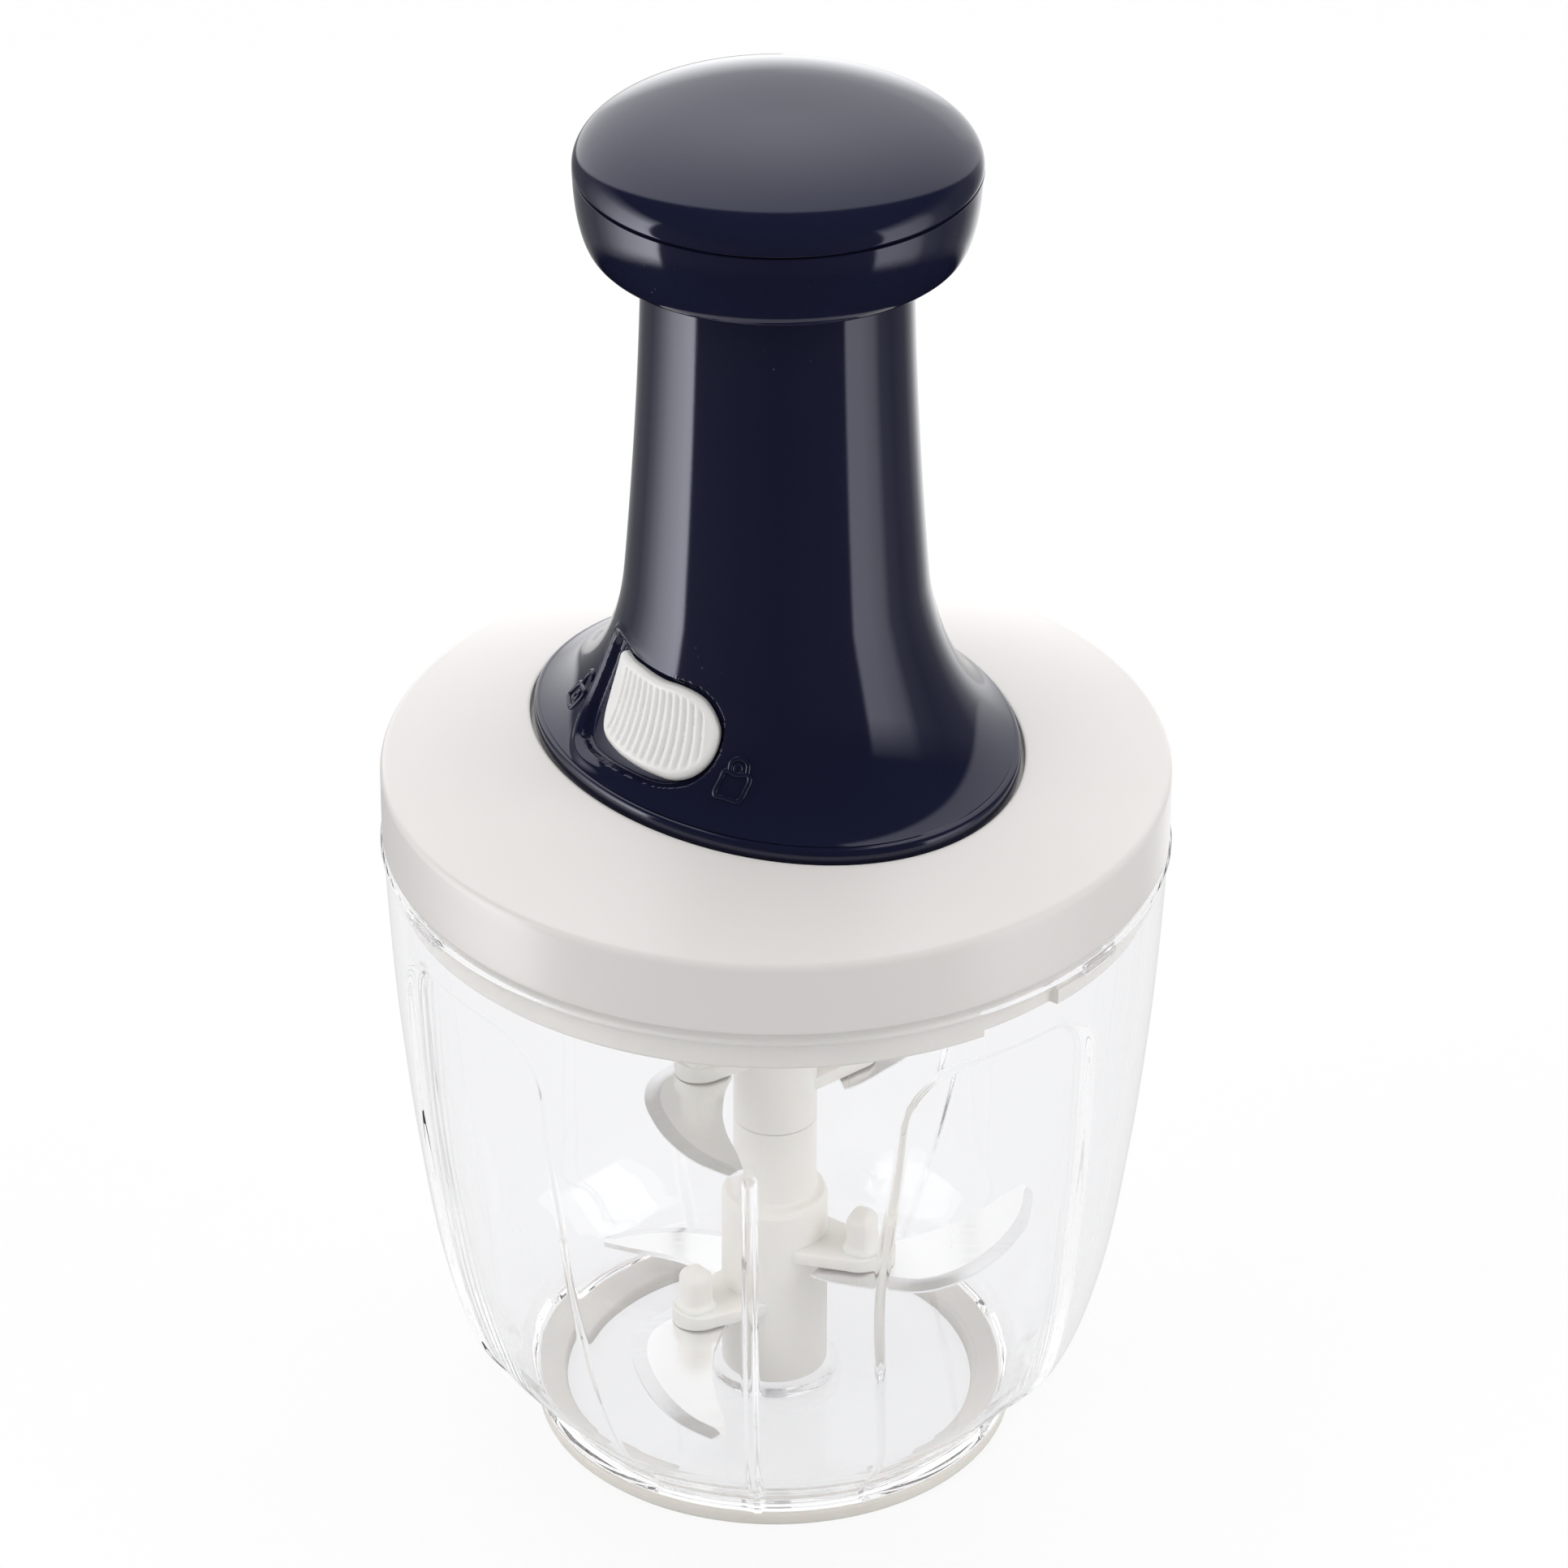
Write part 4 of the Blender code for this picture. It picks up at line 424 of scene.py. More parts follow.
def start_material(name: str) -> tuple[bpy.types.Material, Graph, bpy.types.Node, Socket]:
    """Start a node material.

    Args:
        name: the material's name.

    Returns:
        The material, its graph, its Principled shader and its object coordinates.
    """
    made = bpy.data.materials.new(name)
    made.use_nodes = True
    graph = Graph(made.node_tree)
    return made, graph, graph.tree.nodes["Principled BSDF"], graph.add("TexCoord").outputs["Object"]


@dataclass(frozen=True)
class MouldedPlastic:
    """An opaque moulded plastic with a skin that is not quite even."""

    name: str
    colour: Colour
    shade: Colour
    roughness: float
    swing: float
    ripple: float
    size: float
    marks: float
    translucency: float = 0.0
    tint: Colour = (1.0, 1.0, 1.0)
    dust: Colour = (0.55, 0.54, 0.52)

    def build(self) -> bpy.types.Material:
        """Make the material: slow waves of tone, dust, gloss from waves and scratches, and a faint ripple.

        Returns:
            The material.
        """
        made, graph, shader, place = start_material(self.name)
        evenness = {"Vector": place, "Size": self.size, "Roughness": self.roughness, "Swing": self.swing}
        skin = graph.add("Group", evenness, node_tree=MOULDING).outputs
        marks = graph.add("Group", {"Vector": place, "Amount": self.marks}, node_tree=HANDLING).outputs
        tone = graph.mix(graph.remap(skin["Tone"], 0.35, 0.65), self.colour, self.shade)
        graph.feed(shader, {
            "Base Color": graph.mix(graph.math("MULTIPLY", marks["Dust"], 0.25), tone, self.dust),
            "Roughness": graph.math("MULTIPLY_ADD", marks["Scratch"], 0.12, skin["Roughness"]),
            "Normal": graph.bump(skin["Height"], self.ripple, 0.0004),
            "IOR": 1.54,
            "Specular Tint": self.tint,
            "Subsurface Weight": self.translucency,
            "Subsurface Scale": 0.002,
        })
        return made


@dataclass(frozen=True)
class ClearPlastic:
    """A clear moulded plastic that lets lamps through to what it holds."""

    name: str
    colour: Colour
    passed: Colour = (0.985, 0.988, 0.992)

    def build(self) -> bpy.types.Material:
        """Make the material: smooth glass with faint flow lines, and Transparent for rays from lamps.

        Returns:
            The material.
        """
        made, graph, shader, place = start_material(self.name)
        lines = graph.noise(place, 28.0, 1.0, 0.3)
        graph.feed(shader, {
            "Base Color": self.colour,
            "Roughness": 0.0,
            "IOR": 1.36,
            "Transmission Weight": 1.0,
            "Normal": graph.bump(lines, 0.05, 0.0006),
        })
        clear = graph.add("BsdfTransparent", {"Color": self.passed})
        lamps = graph.add("LightPath").outputs["Is Shadow Ray"]
        graph.show(lamps, shader.outputs[0], clear.outputs[0])
        return made


@dataclass(frozen=True)
class Steel:
    """Stainless steel with a rolled grain."""

    name: str
    colour: Colour
    shade: Colour
    roughness: float
    grain: tuple[float, float, float]
    ground: Colour = (0.6, 0.6, 0.6)

    def build(self) -> bpy.types.Material:
        """Make the material: stretched noise for the grain in its tone, gloss and bump.

        Where the mesh's "ground" attribute is 1, a ground bevel shows in its own colour.

        Returns:
            The material.
        """
        made, graph, shader, place = start_material(self.name)
        stretch = graph.add("Mapping", {"Vector": place, "Scale": self.grain}).outputs[0]
        grain = graph.noise(stretch, 1.0, 3.0)
        marks = graph.add("Group", {"Vector": place, "Amount": 0.6}, node_tree=HANDLING).outputs
        rolled = graph.mix(grain, self.shade, self.colour)
        bevel = graph.mix(grain, tuple(0.9 * part for part in self.ground), self.ground)
        at_bevel = graph.add("Attribute", attribute_name="ground").outputs["Fac"]
        gloss = graph.remap(grain, 0.0, 1.0, self.roughness - 0.06, self.roughness + 0.08)
        graph.feed(shader, {
            "Base Color": graph.mix(at_bevel, rolled, bevel),
            "Roughness": graph.math("MULTIPLY_ADD", marks["Scratch"], 0.10, gloss),
            "Normal": graph.bump(grain, 0.08, 0.0002),
            "Metallic": 1.0,
        })
        return made


FINISHES = {
    "navy": MouldedPlastic(
        "navy_gloss", (0.0095, 0.0110, 0.0290), (0.0108, 0.0124, 0.0325), 0.075, 0.03, 0.05, 30.0, 0.35,
        tint=(0.84, 0.86, 1.0),
    ),
    "white": MouldedPlastic(
        "white_gloss", (0.80, 0.775, 0.757), (0.785, 0.76, 0.742), 0.30, 0.05, 0.04, 26.0, 0.25
    ),
    # Also worn by the lid's base, where this lighter, warmer white is painted light over the shade under the
    # cover
    "hub": MouldedPlastic(
        "white_hub", (0.91, 0.885, 0.84), (0.89, 0.865, 0.82), 0.34, 0.06, 0.06, 60.0, 0.2, 0.1
    ),
    "ribbed": MouldedPlastic(
        "white_slider", (0.93, 0.92, 0.905), (0.91, 0.90, 0.885), 0.34, 0.05, 0.08, 90.0, 0.3
    ),
    "acetal": MouldedPlastic(
        "natural_acetal", (0.78, 0.77, 0.73), (0.75, 0.74, 0.69), 0.42, 0.06, 0.10, 80.0, 0.3, 0.05
    ),
    "cream": MouldedPlastic(
        "cream_silicone", (0.95, 0.91, 0.855), (0.92, 0.875, 0.815), 0.62, 0.06, 0.18, 140.0, 0.8, 0.25
    ),
    "gasket": MouldedPlastic(
        "white_silicone", (0.80, 0.79, 0.77), (0.77, 0.76, 0.735), 0.55, 0.06, 0.15, 140.0, 0.4
    ),
    "clear": ClearPlastic("clear_plastic", (0.955, 0.956, 0.963)),
    "blade": Steel(
        "satin_blade_steel", (1.0, 1.0, 0.995), (0.96, 0.96, 0.955), 0.22, (60.0, 900.0, 900.0),
        (0.88, 0.88, 0.885),
    ),
    "bright": Steel("bright_steel", (0.66, 0.66, 0.67), (0.56, 0.56, 0.57), 0.20, (300.0, 300.0, 1200.0)),
}


@dataclass
class Assembly:
    """What every sub-assembly shares: its finishes by name and how a piece joins the model."""

    finishes: dict[str, bpy.types.Material]

    def place(self, name: str, skin: Skin, finish: str, body: Body, slot: str, *nodes: str) -> None:
        """Make a piece, dress it and let it ride on a body.

        Args:
            name: the piece's name.
            skin: its surface.
            finish: its finish's name.
            body: the body that it moves with.
            slot: the record's material slot; not used.
            nodes: CAD nodes that it stands for.
        """
        piece = skin.mesh(name)
        piece.data.materials.append(self.finishes[finish])
        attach(piece, body.value)
        if nodes:
            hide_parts(*nodes)
        LOG.info("%s: %d points on %s", name, len(piece.data.vertices), body.value)

    def dress(self, finish: str, *nodes: str) -> None:
        """Give CAD nodes a finish.

        Args:
            finish: the finish's name.
            nodes: the nodes' names.
        """
        for node in nodes:
            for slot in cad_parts[node].material_slots:
                slot.link = "OBJECT"
                slot.material = self.finishes[finish]
            LOG.info("%s: dressed", node)


# Bowl


@dataclass
class Bowl(Assembly):
    """The clear bowl, its lugs and its soft ring."""

    foot: float = 0.0029
    height: float = 0.1166
    wall: float = 0.0026
    floor: float = 0.0056
    fillet: float = 0.004
    lip: float = 0.0004
    seat_radius: float = 0.0102
    seat_top: float = 0.0072
    side: Pairs = (
        (0.0029, 0.0416), (0.0055, 0.0421), (0.0080, 0.0435), (0.0120, 0.0472), (0.0200, 0.0532),
        (0.0300, 0.0565), (0.0400, 0.0587), (0.0550, 0.0609), (0.0700, 0.0627), (0.0900, 0.0645),
        (0.1100, 0.0656), (0.1166, 0.0658),
    )
    row_spans: tuple[tuple[float, float, int], ...] = (
        (0.0035, 0.014, 18), (0.0158, 0.0830, 36), (0.0840, 0.0900, 13), (0.0915, 0.0935, 2),
        (0.0945, 0.1075, 30), (0.1085, 0.1135, 4), (0.1138, 0.1163, 16),
    )
    panel_centres: Pairs = ((0.0, -48.4), (0.012, -48.9), (0.040, -52.3), (0.062, -53.8), (0.1166, -53.6))
    panel_halves: Pairs = ((0.0, 20.5), (0.040, 19.9), (0.062, 19.5), (0.090, 17.5), (0.1166, 16.5))
    panel_reach: float = 1.12
    panel_depth: float = 0.0018
    panel_edge_share: float = 0.62
    panel_top: float = 0.1048
    panel_bottom: float = -0.0040
    panel_corners: tuple[float, float] = (0.0105, 0.003)
    panel_edge: float = 0.0014
    panel_fade: float = 0.15
    panel_full: tuple[float, float] = (0.003, 0.025)
    bead: float = 0.0006
    bead_height: float = 0.1145
    bead_width: float = 0.00045
    rib_bearing: float = math.radians(-93.7)
    rib_half: float = 0.0010
    rib_proud: float = 0.0008
    rib_top: float = 0.0870
    lug_bearing: float = math.radians(-34.5)
    lug_half: float = 4.5
    lug_place: tuple[float, float] = (0.06265, 0.1120)
    lug_sides: tuple[float, float] = (0.0007, 0.0010)
    ring: Pairs = ((0.0413, 0.0026), (0.0413, 0.0), (0.0342, 0.0), (0.0342, 0.0026))

    def radius(self, height: Array) -> Array:
        """Outer radius at a height."""
        return flow(self.side, height)

    def centre(self, height: Array) -> Array:
        """Bearing of the first panel's middle at a height; it leans towards the foot."""
        return np.radians(flow(self.panel_centres, height))

    def half(self, height: Array) -> Array:
        """Half the angle that a panel takes at a height."""
        return np.radians(flow(self.panel_halves, height))

    def columns(self, height: Array) -> Array:
        """Angles of the grid's columns at each height.

        They follow the panels' leaning edges, and crowd together at the edges, corners and rib. Inside a
        panel an angle is centre + w half width, and between panels it is a share g of the way from one edge
        to the next.

        Args:
            height: heights of the rows.

        Returns:
            Angles as rows and columns.
        """
        side = spread((0.52, 0.860, 14), (0.875, 1.115, 17))
        inside = np.concatenate((-side[::-1], np.linspace(-0.50, 0.50, 13), side))
        plain = np.linspace(0.03, 0.97, 18)
        ribbed = np.union1d(plain, np.linspace(0.48, 0.64, 26))
        shift, half = self.centre(height)[:, None], self.half(height)[:, None]
        parts = []
        for index, gap in enumerate((plain, plain, plain, ribbed)):
            turn = index * math.pi / 2 + shift
            parts.append(turn + inside * half)
            parts.append(turn + half * self.panel_reach + gap * (math.pi / 2 - 2 * self.panel_reach * half))
        return np.concatenate(parts, axis=1)

    def recess(self, angle: Array, height: Array) -> Array:
        """Share of the panels' depth at a point: a soft step over the distance to a box with round corners.

        With u across the half panel, its face is deeper in the middle by the curve e + (1 - e) (1 - u^2),
        which leaves it flatter than the round inside and bends what shows through it.

        Args:
            angle: angles of the points.
            height: their heights.

        Returns:
            0 outside the panels and 1 inside.
        """
        local = (angle - self.centre(height) + math.pi / 4) % (math.pi / 2) - math.pi / 4
        across = np.abs(local) * self.radius(height)
        half_width = self.radius(height) * self.half(height)
        middle, half_height = (
            (self.panel_top + self.panel_bottom) / 2, (self.panel_top - self.panel_bottom) / 2
        )
        corner = np.where(height > middle, *self.panel_corners)
        x = across - half_width + corner
        y = np.abs(height - middle) - half_height + corner
        distance = np.hypot(np.maximum(x, 0), np.maximum(y, 0)) + np.minimum(np.maximum(x, y), 0) - corner
        face = 1 - (1 - self.panel_edge_share) * np.clip(across / half_width, 0, 1) ** 2
        fade = 1 - self.panel_fade * (1 - step_between(height, *self.panel_full))
        return fade * face * (1 - step_between(distance, -self.panel_edge, self.panel_edge))

    def rib(self, angle: Array, height: Array) -> Array:
        """Rise of the outside rib at a point: a rounded ridge along one bearing, which fades at its top.

        Args:
            angle: angles of the points.
            height: their heights.

        Returns:
            The rise.
        """
        offset = np.abs((angle - self.rib_bearing + math.pi) % math.tau - math.pi) * self.radius(height)
        ridge = 1 - step_between(offset, self.rib_half * 0.45, self.rib_half * 1.25)
        fade = 1 - step_between(height, self.rib_top - self.rib_half, self.rib_top + self.rib_half)
        return self.rib_proud * ridge * fade

    def shell(self) -> Skin:
        """Build the bowl's whole skin from the middle of its floor, up the inside, and down the outside.

        The outside's radius is side(z) - depth * recess + rib + bead, with the bead a bell curve just under
        the rim.

        Returns:
            The skin.
        """
        heights = spread(*self.row_spans)[:, None]
        angles = self.columns(heights[:, 0])
        radius = (
            self.radius(heights) - self.panel_depth * self.recess(angles, heights) + self.rib(angles, heights)
        )
        radius += self.bead * np.exp(-(((heights - self.bead_height) / self.bead_width) ** 2))
        outside = polar(radius, angles, heights)[::-1]
        up = np.linspace(self.floor + self.fillet, self.height - 0.0006, 60)
        wall = np.stack((self.radius(up) - self.wall, up), axis=1)
        foot = wall[0, 0]
        bend = np.linspace(0, math.pi / 2, 9)[:-1]
        turn = np.stack((np.sin(bend) - 1, 1 - np.cos(bend)), axis=1)
        seat = soften((
            (0.0, self.seat_top), (self.seat_radius, self.seat_top), (self.seat_radius + 0.0014, self.floor),
            (foot - self.fillet - 0.0005, self.floor),
        ), 0.0010, closed=False)
        rim, below = self.radius(self.height), self.height - self.lip / 2
        lip = ((rim - self.wall, below), (rim - self.wall + self.lip, self.height),
               (rim - self.lip, self.height), (rim, below))
        under = ((0.0414, self.foot + 0.0002), *((edge, self.foot) for edge in (0.0410, 0.0338, 0.0200, 0.0)))
        inside = np.vstack((seat, self.fillet * turn + (foot, self.floor), wall, lip))
        top, low = (self.columns(np.array((height,))) for height in (self.height, self.foot))
        return Skin.grid(np.concatenate((spun(inside, top), outside, spun(under, low))))

    def lug(self) -> Skin:
        """Build one bayonet lug inside the rim: a box with round corners, carried along an arc and tapered.

        Returns:
            The skin.
        """
        sweep = np.linspace(-self.lug_half, self.lug_half, 25)[:, None]
        taper = np.sqrt(np.clip(1 - (np.abs(sweep) / (self.lug_half + 0.1)) ** 6, 0.02, 1))
        x, z = (side * taper * wave for side, wave in zip(self.lug_sides, round_box(20, 0.5)))
        bar = polar(self.lug_place[0] + x, self.lug_bearing + np.radians(sweep), self.lug_place[1] + z)
        return Skin.grid(bar, cap=True)

    def build(self) -> None:
        """Make the bowl, its lugs and its ring."""
        self.place("clear_bowl", self.shell(), "clear", Body.BOWL, "clear_bowl", "bowl")
        lug = self.lug()
        lugs = lug + lug.turned(THIRD) + lug.turned(2 * THIRD)
        self.place("bowl_lugs", lugs, "clear", Body.BOWL, "clear_bowl")
        ring = lathe(soften(self.ring, 0.0008))
        self.place("soft_ring", ring, "cream", Body.BOWL, "cream_ring", "anti_slip_ring")
        self.dress("bright", "blade_pivot_pin")


# Blade stack


@dataclass(frozen=True)
class Arm:
    """One blade's arm: its bearing in degrees, its height, its blade's reach and its root's width."""

    bearing: float
    height: float
    reach: float
    root: float


@dataclass
class BladeStack(Assembly):
    """The two hubs with their arms and the five sickle blades."""

    lower: tuple[Arm, ...] = (
        Arm(95, 0.0140, 0.0418, 0.0160), Arm(215, 0.0230, 0.0445, 0.0160), Arm(335, 0.0335, 0.0492, 0.0160),
    )
    upper: tuple[Arm, ...] = (Arm(34, 0.0650, 0.0440, 0.0122), Arm(218, 0.0745, 0.0410, 0.0122))
    lower_hub: Pairs = (
        (0.0033, 0.0578), (0.0072, 0.0578), (0.0072, 0.0436), (0.0077, 0.0431), (0.0087, 0.0427),
        (0.0092, 0.0416), (0.0092, 0.0075), (0.0025, 0.0075), (0.0025, 0.0200), (0.0033, 0.0263),
    )
    upper_hub: Pairs = (
        (0.0033, 0.0980), (0.0066, 0.0980), (0.0066, 0.0925), (0.0072, 0.0915), (0.0072, 0.0579),
        (0.0033, 0.0579),
    )
    cutting: Pairs = (
        (0.027, -34.0), (0.253, -17.0), (0.440, -9.0), (0.573, 1.0), (0.687, 12.0), (0.813, 23.0),
        (0.927, 33.0), (1.000, 41.5),
    )
    back: Pairs = ((0.073, 18.0), (0.187, 22.0), (0.333, 27.5), (0.547, 34.0), (0.813, 42.0), (0.953, 44.5))
    root: float = 0.0110
    thickness: float = 0.0010
    bevel: float = 0.0028
    edge_share: float = 0.4
    gap: float = 0.0001
    arm_half: float = 0.0015
    arm_end: float = 0.0205
    arm_tip: float = 0.0046
    boss: Pairs = (
        (-0.0015, 1.26), (0.0003, 1.26), (0.0006, 1.22), (0.0008, 1.12), (0.0011, 1.04), (0.0016, 1.01),
        (0.0030, 1.0),
    )
    peg_place: float = 0.0166
    peg_sides: tuple[float, float] = (0.0024, 0.0027)
    peg_top: float = 0.0092
    peg_dome: float = 0.0024
    stake_place: float = 0.0142
    stake_radii: tuple[float, float, float] = (0.0012, 0.0021, 0.0019)
    stake_head: float = 0.0008

    def edge(self, shares: Pairs, reach: float, count: int) -> Array:
        """Read one edge of a blade as an even smooth curve of (x, y) for an arm along +X.

        Args:
            shares: rows of (share of the way from root to tip, degrees).
            reach: the tip's radius.
            count: how many points.

        Returns:
            The points.
        """
        share, degrees = through(shares, 200).T
        radius = self.root + (reach - self.root) * share
        return even_steps(polar(radius, np.radians(degrees), 0.0)[:, :2], count)

    def blade(self, arm: Arm) -> Skin:
        """Build a blade: flat sections along it, each from its back to its cutting edge and ground on top.

        Across a section the height is full up to the bevel, and falls to the edge in a straight line over the
        bevel.

        Args:
            arm: its arm.

        Returns:
            The skin.
        """
        count, ground = 90, np.array((0.0, 0.5, 1.0))
        cutting, back = (self.edge(shares, arm.reach, count) for shares in (self.cutting, self.back))
        width = np.linalg.norm(back - cutting, axis=1)
        share = np.clip(self.bevel / np.maximum(width, 1e-6), 0.02, 0.60)[:, None]
        across = np.concatenate((share * ground, share + (1 - share) * np.linspace(0.02, 1.0, 8)), axis=1)
        plan = cutting[:, None] + (back - cutting)[:, None] * across[..., None]
        slope = self.edge_share + (1 - self.edge_share) * ground
        rise = np.concatenate((slope, np.ones(8), np.zeros(across.shape[1])))
        bottom = arm.height - self.arm_half - self.gap - self.thickness
        height = np.broadcast_to((bottom + self.thickness * rise)[:, None], (count, len(rise), 1))
        loop = np.concatenate((np.concatenate((plan, plan[:, ::-1]), axis=1), height), axis=2)
        skin = Skin.grid(loop, cap=True).turned(math.radians(arm.bearing))
        skin.ground = np.tile(np.arange(len(rise)) < len(ground), count + 2)
        return skin

    def arm(self, arm: Arm) -> Skin:
        """Build an arm: a rounded flat section carried outwards, its half width narrowing to a round end.

        Args:
            arm: its place and size.

        Returns:
            The skin.
        """
        start = self.arm_end - self.arm_tip
        bend = np.linspace(0.08, math.pi / 2 - 0.03, 14)
        along = np.concatenate((np.linspace(0.001, start, 18), start + self.arm_tip * np.sin(bend)))[:, None]
        straight = arm.root / 2 + (self.arm_tip - arm.root / 2) * np.clip(along / start, 0, 1)
        half = straight * np.sqrt(1 - np.clip((along - start) / self.arm_tip, 0, 1) ** 2)
        y, z = round_box(36, 0.28)
        return self.moulded(arm, along, half * y, arm.height + self.arm_half * z)

    def peg(self, arm: Arm) -> Skin:
        """Build an upright peg on its boss: a superellipse whose size follows its height up to a dome.

        Args:
            arm: its arm.

        Returns:
            The skin.
        """
        bend = np.linspace(0.0, math.pi / 2 - 0.06, 12)
        lift, size = np.array(self.boss).T
        rise = np.concatenate(
            (self.arm_half + lift, self.peg_top - self.peg_dome * (1 - np.sin(bend)))
        )[:, None]
        size = np.concatenate((size, np.cos(bend)))[:, None]
        x, y = np.array(self.peg_sides)[:, None] * round_box(40, 0.6)
        return self.moulded(arm, self.peg_place + size * x, size * y, arm.height + rise)

    def moulded(self, arm: Arm, *parts: Array) -> Skin:
        """Close a grid of x, y and z made along +X, and turn it to an arm's bearing."""
        return Skin.grid(
            np.stack(np.broadcast_arrays(*parts), axis=-1), cap=True
        ).turned(math.radians(arm.bearing))

    def stake(self, arm: Arm) -> Skin:
        """Build the stake that holds a blade under its arm, with its flattened head.

        Args:
            arm: its arm.

        Returns:
            The skin.
        """
        head = arm.height - self.arm_half - self.thickness - 0.0006
        low = head - self.stake_head
        stem, wide, end = self.stake_radii
        section = ((0.0, arm.height), (stem, arm.height), (stem, head), (wide, head), (end, low), (0.0, low))
        skin = lathe(soften(section, 0.0003, closed=False), closed=False, steps=28)
        return Skin(skin.points + polar(self.stake_place, math.radians(arm.bearing), 0.0), skin.faces)

    def hub(self, profile: Pairs, arms: tuple[Arm, ...]) -> Skin:
        """Build a hub and everything moulded on it.

        Args:
            profile: its section.
            arms: its arms.

        Returns:
            The skin.
        """
        skin = lathe(soften(profile, 0.0003), steps=96)
        for arm in arms:
            skin = skin + self.arm(arm) + self.peg(arm) + self.stake(arm)
        return skin

    def build(self) -> None:
        """Make the hubs and blades, and dress the shaft, the drive and the spindle."""
        levels = {"lower": (self.lower_hub, self.lower), "upper": (self.upper_hub, self.upper)}
        for level, parts in levels.items():
            self.place(
                f"{level}_hub", self.hub(*parts), "hub", Body.BLADES, "white_hub", f"{level}_blade_hub"
            )
        for level, (_, arms) in levels.items():
            for number, arm in enumerate(arms, 1):
                names = f"{level}_sickle_{number}", f"{level}_blade_{number}"
                self.place(names[0], self.blade(arm), "blade", Body.BLADES, "blade_steel", names[1])
        self.dress("bright", "blade_shaft", "thrust_washer", "spiral_spindle", "clutch_spring")
        self.dress("acetal", "drive_coupler", "bearing_bush", "clutch_housing", "clutch_driver")


# Lid


@dataclass(frozen=True)
class Crown:
    """The lid's domed top and the oval of the column's foot on it, which the lid and the column share."""

    radius: float = 0.0660
    top: float = 0.1382
    shoulder: float = 0.1291
    half_length: float = 0.0450
    half_width: float = 0.0375
    bearing: float = math.radians(-52.0)

    def dome(self, radius: Array) -> Array:
        """Height of the domed top at a radius: a parabola from its middle to the shoulder."""
        return self.top - (self.top - self.shoulder) * (radius / self.radius) ** 2

    def oval(self, angle: Array) -> Array:
        """Radius of the oval at an angle t from its bearing: a b / hypot(b cos t, a sin t)."""
        a, b, t = self.half_length, self.half_width, angle - self.bearing
        return a * b / np.hypot(b * np.cos(t), a * np.sin(t))


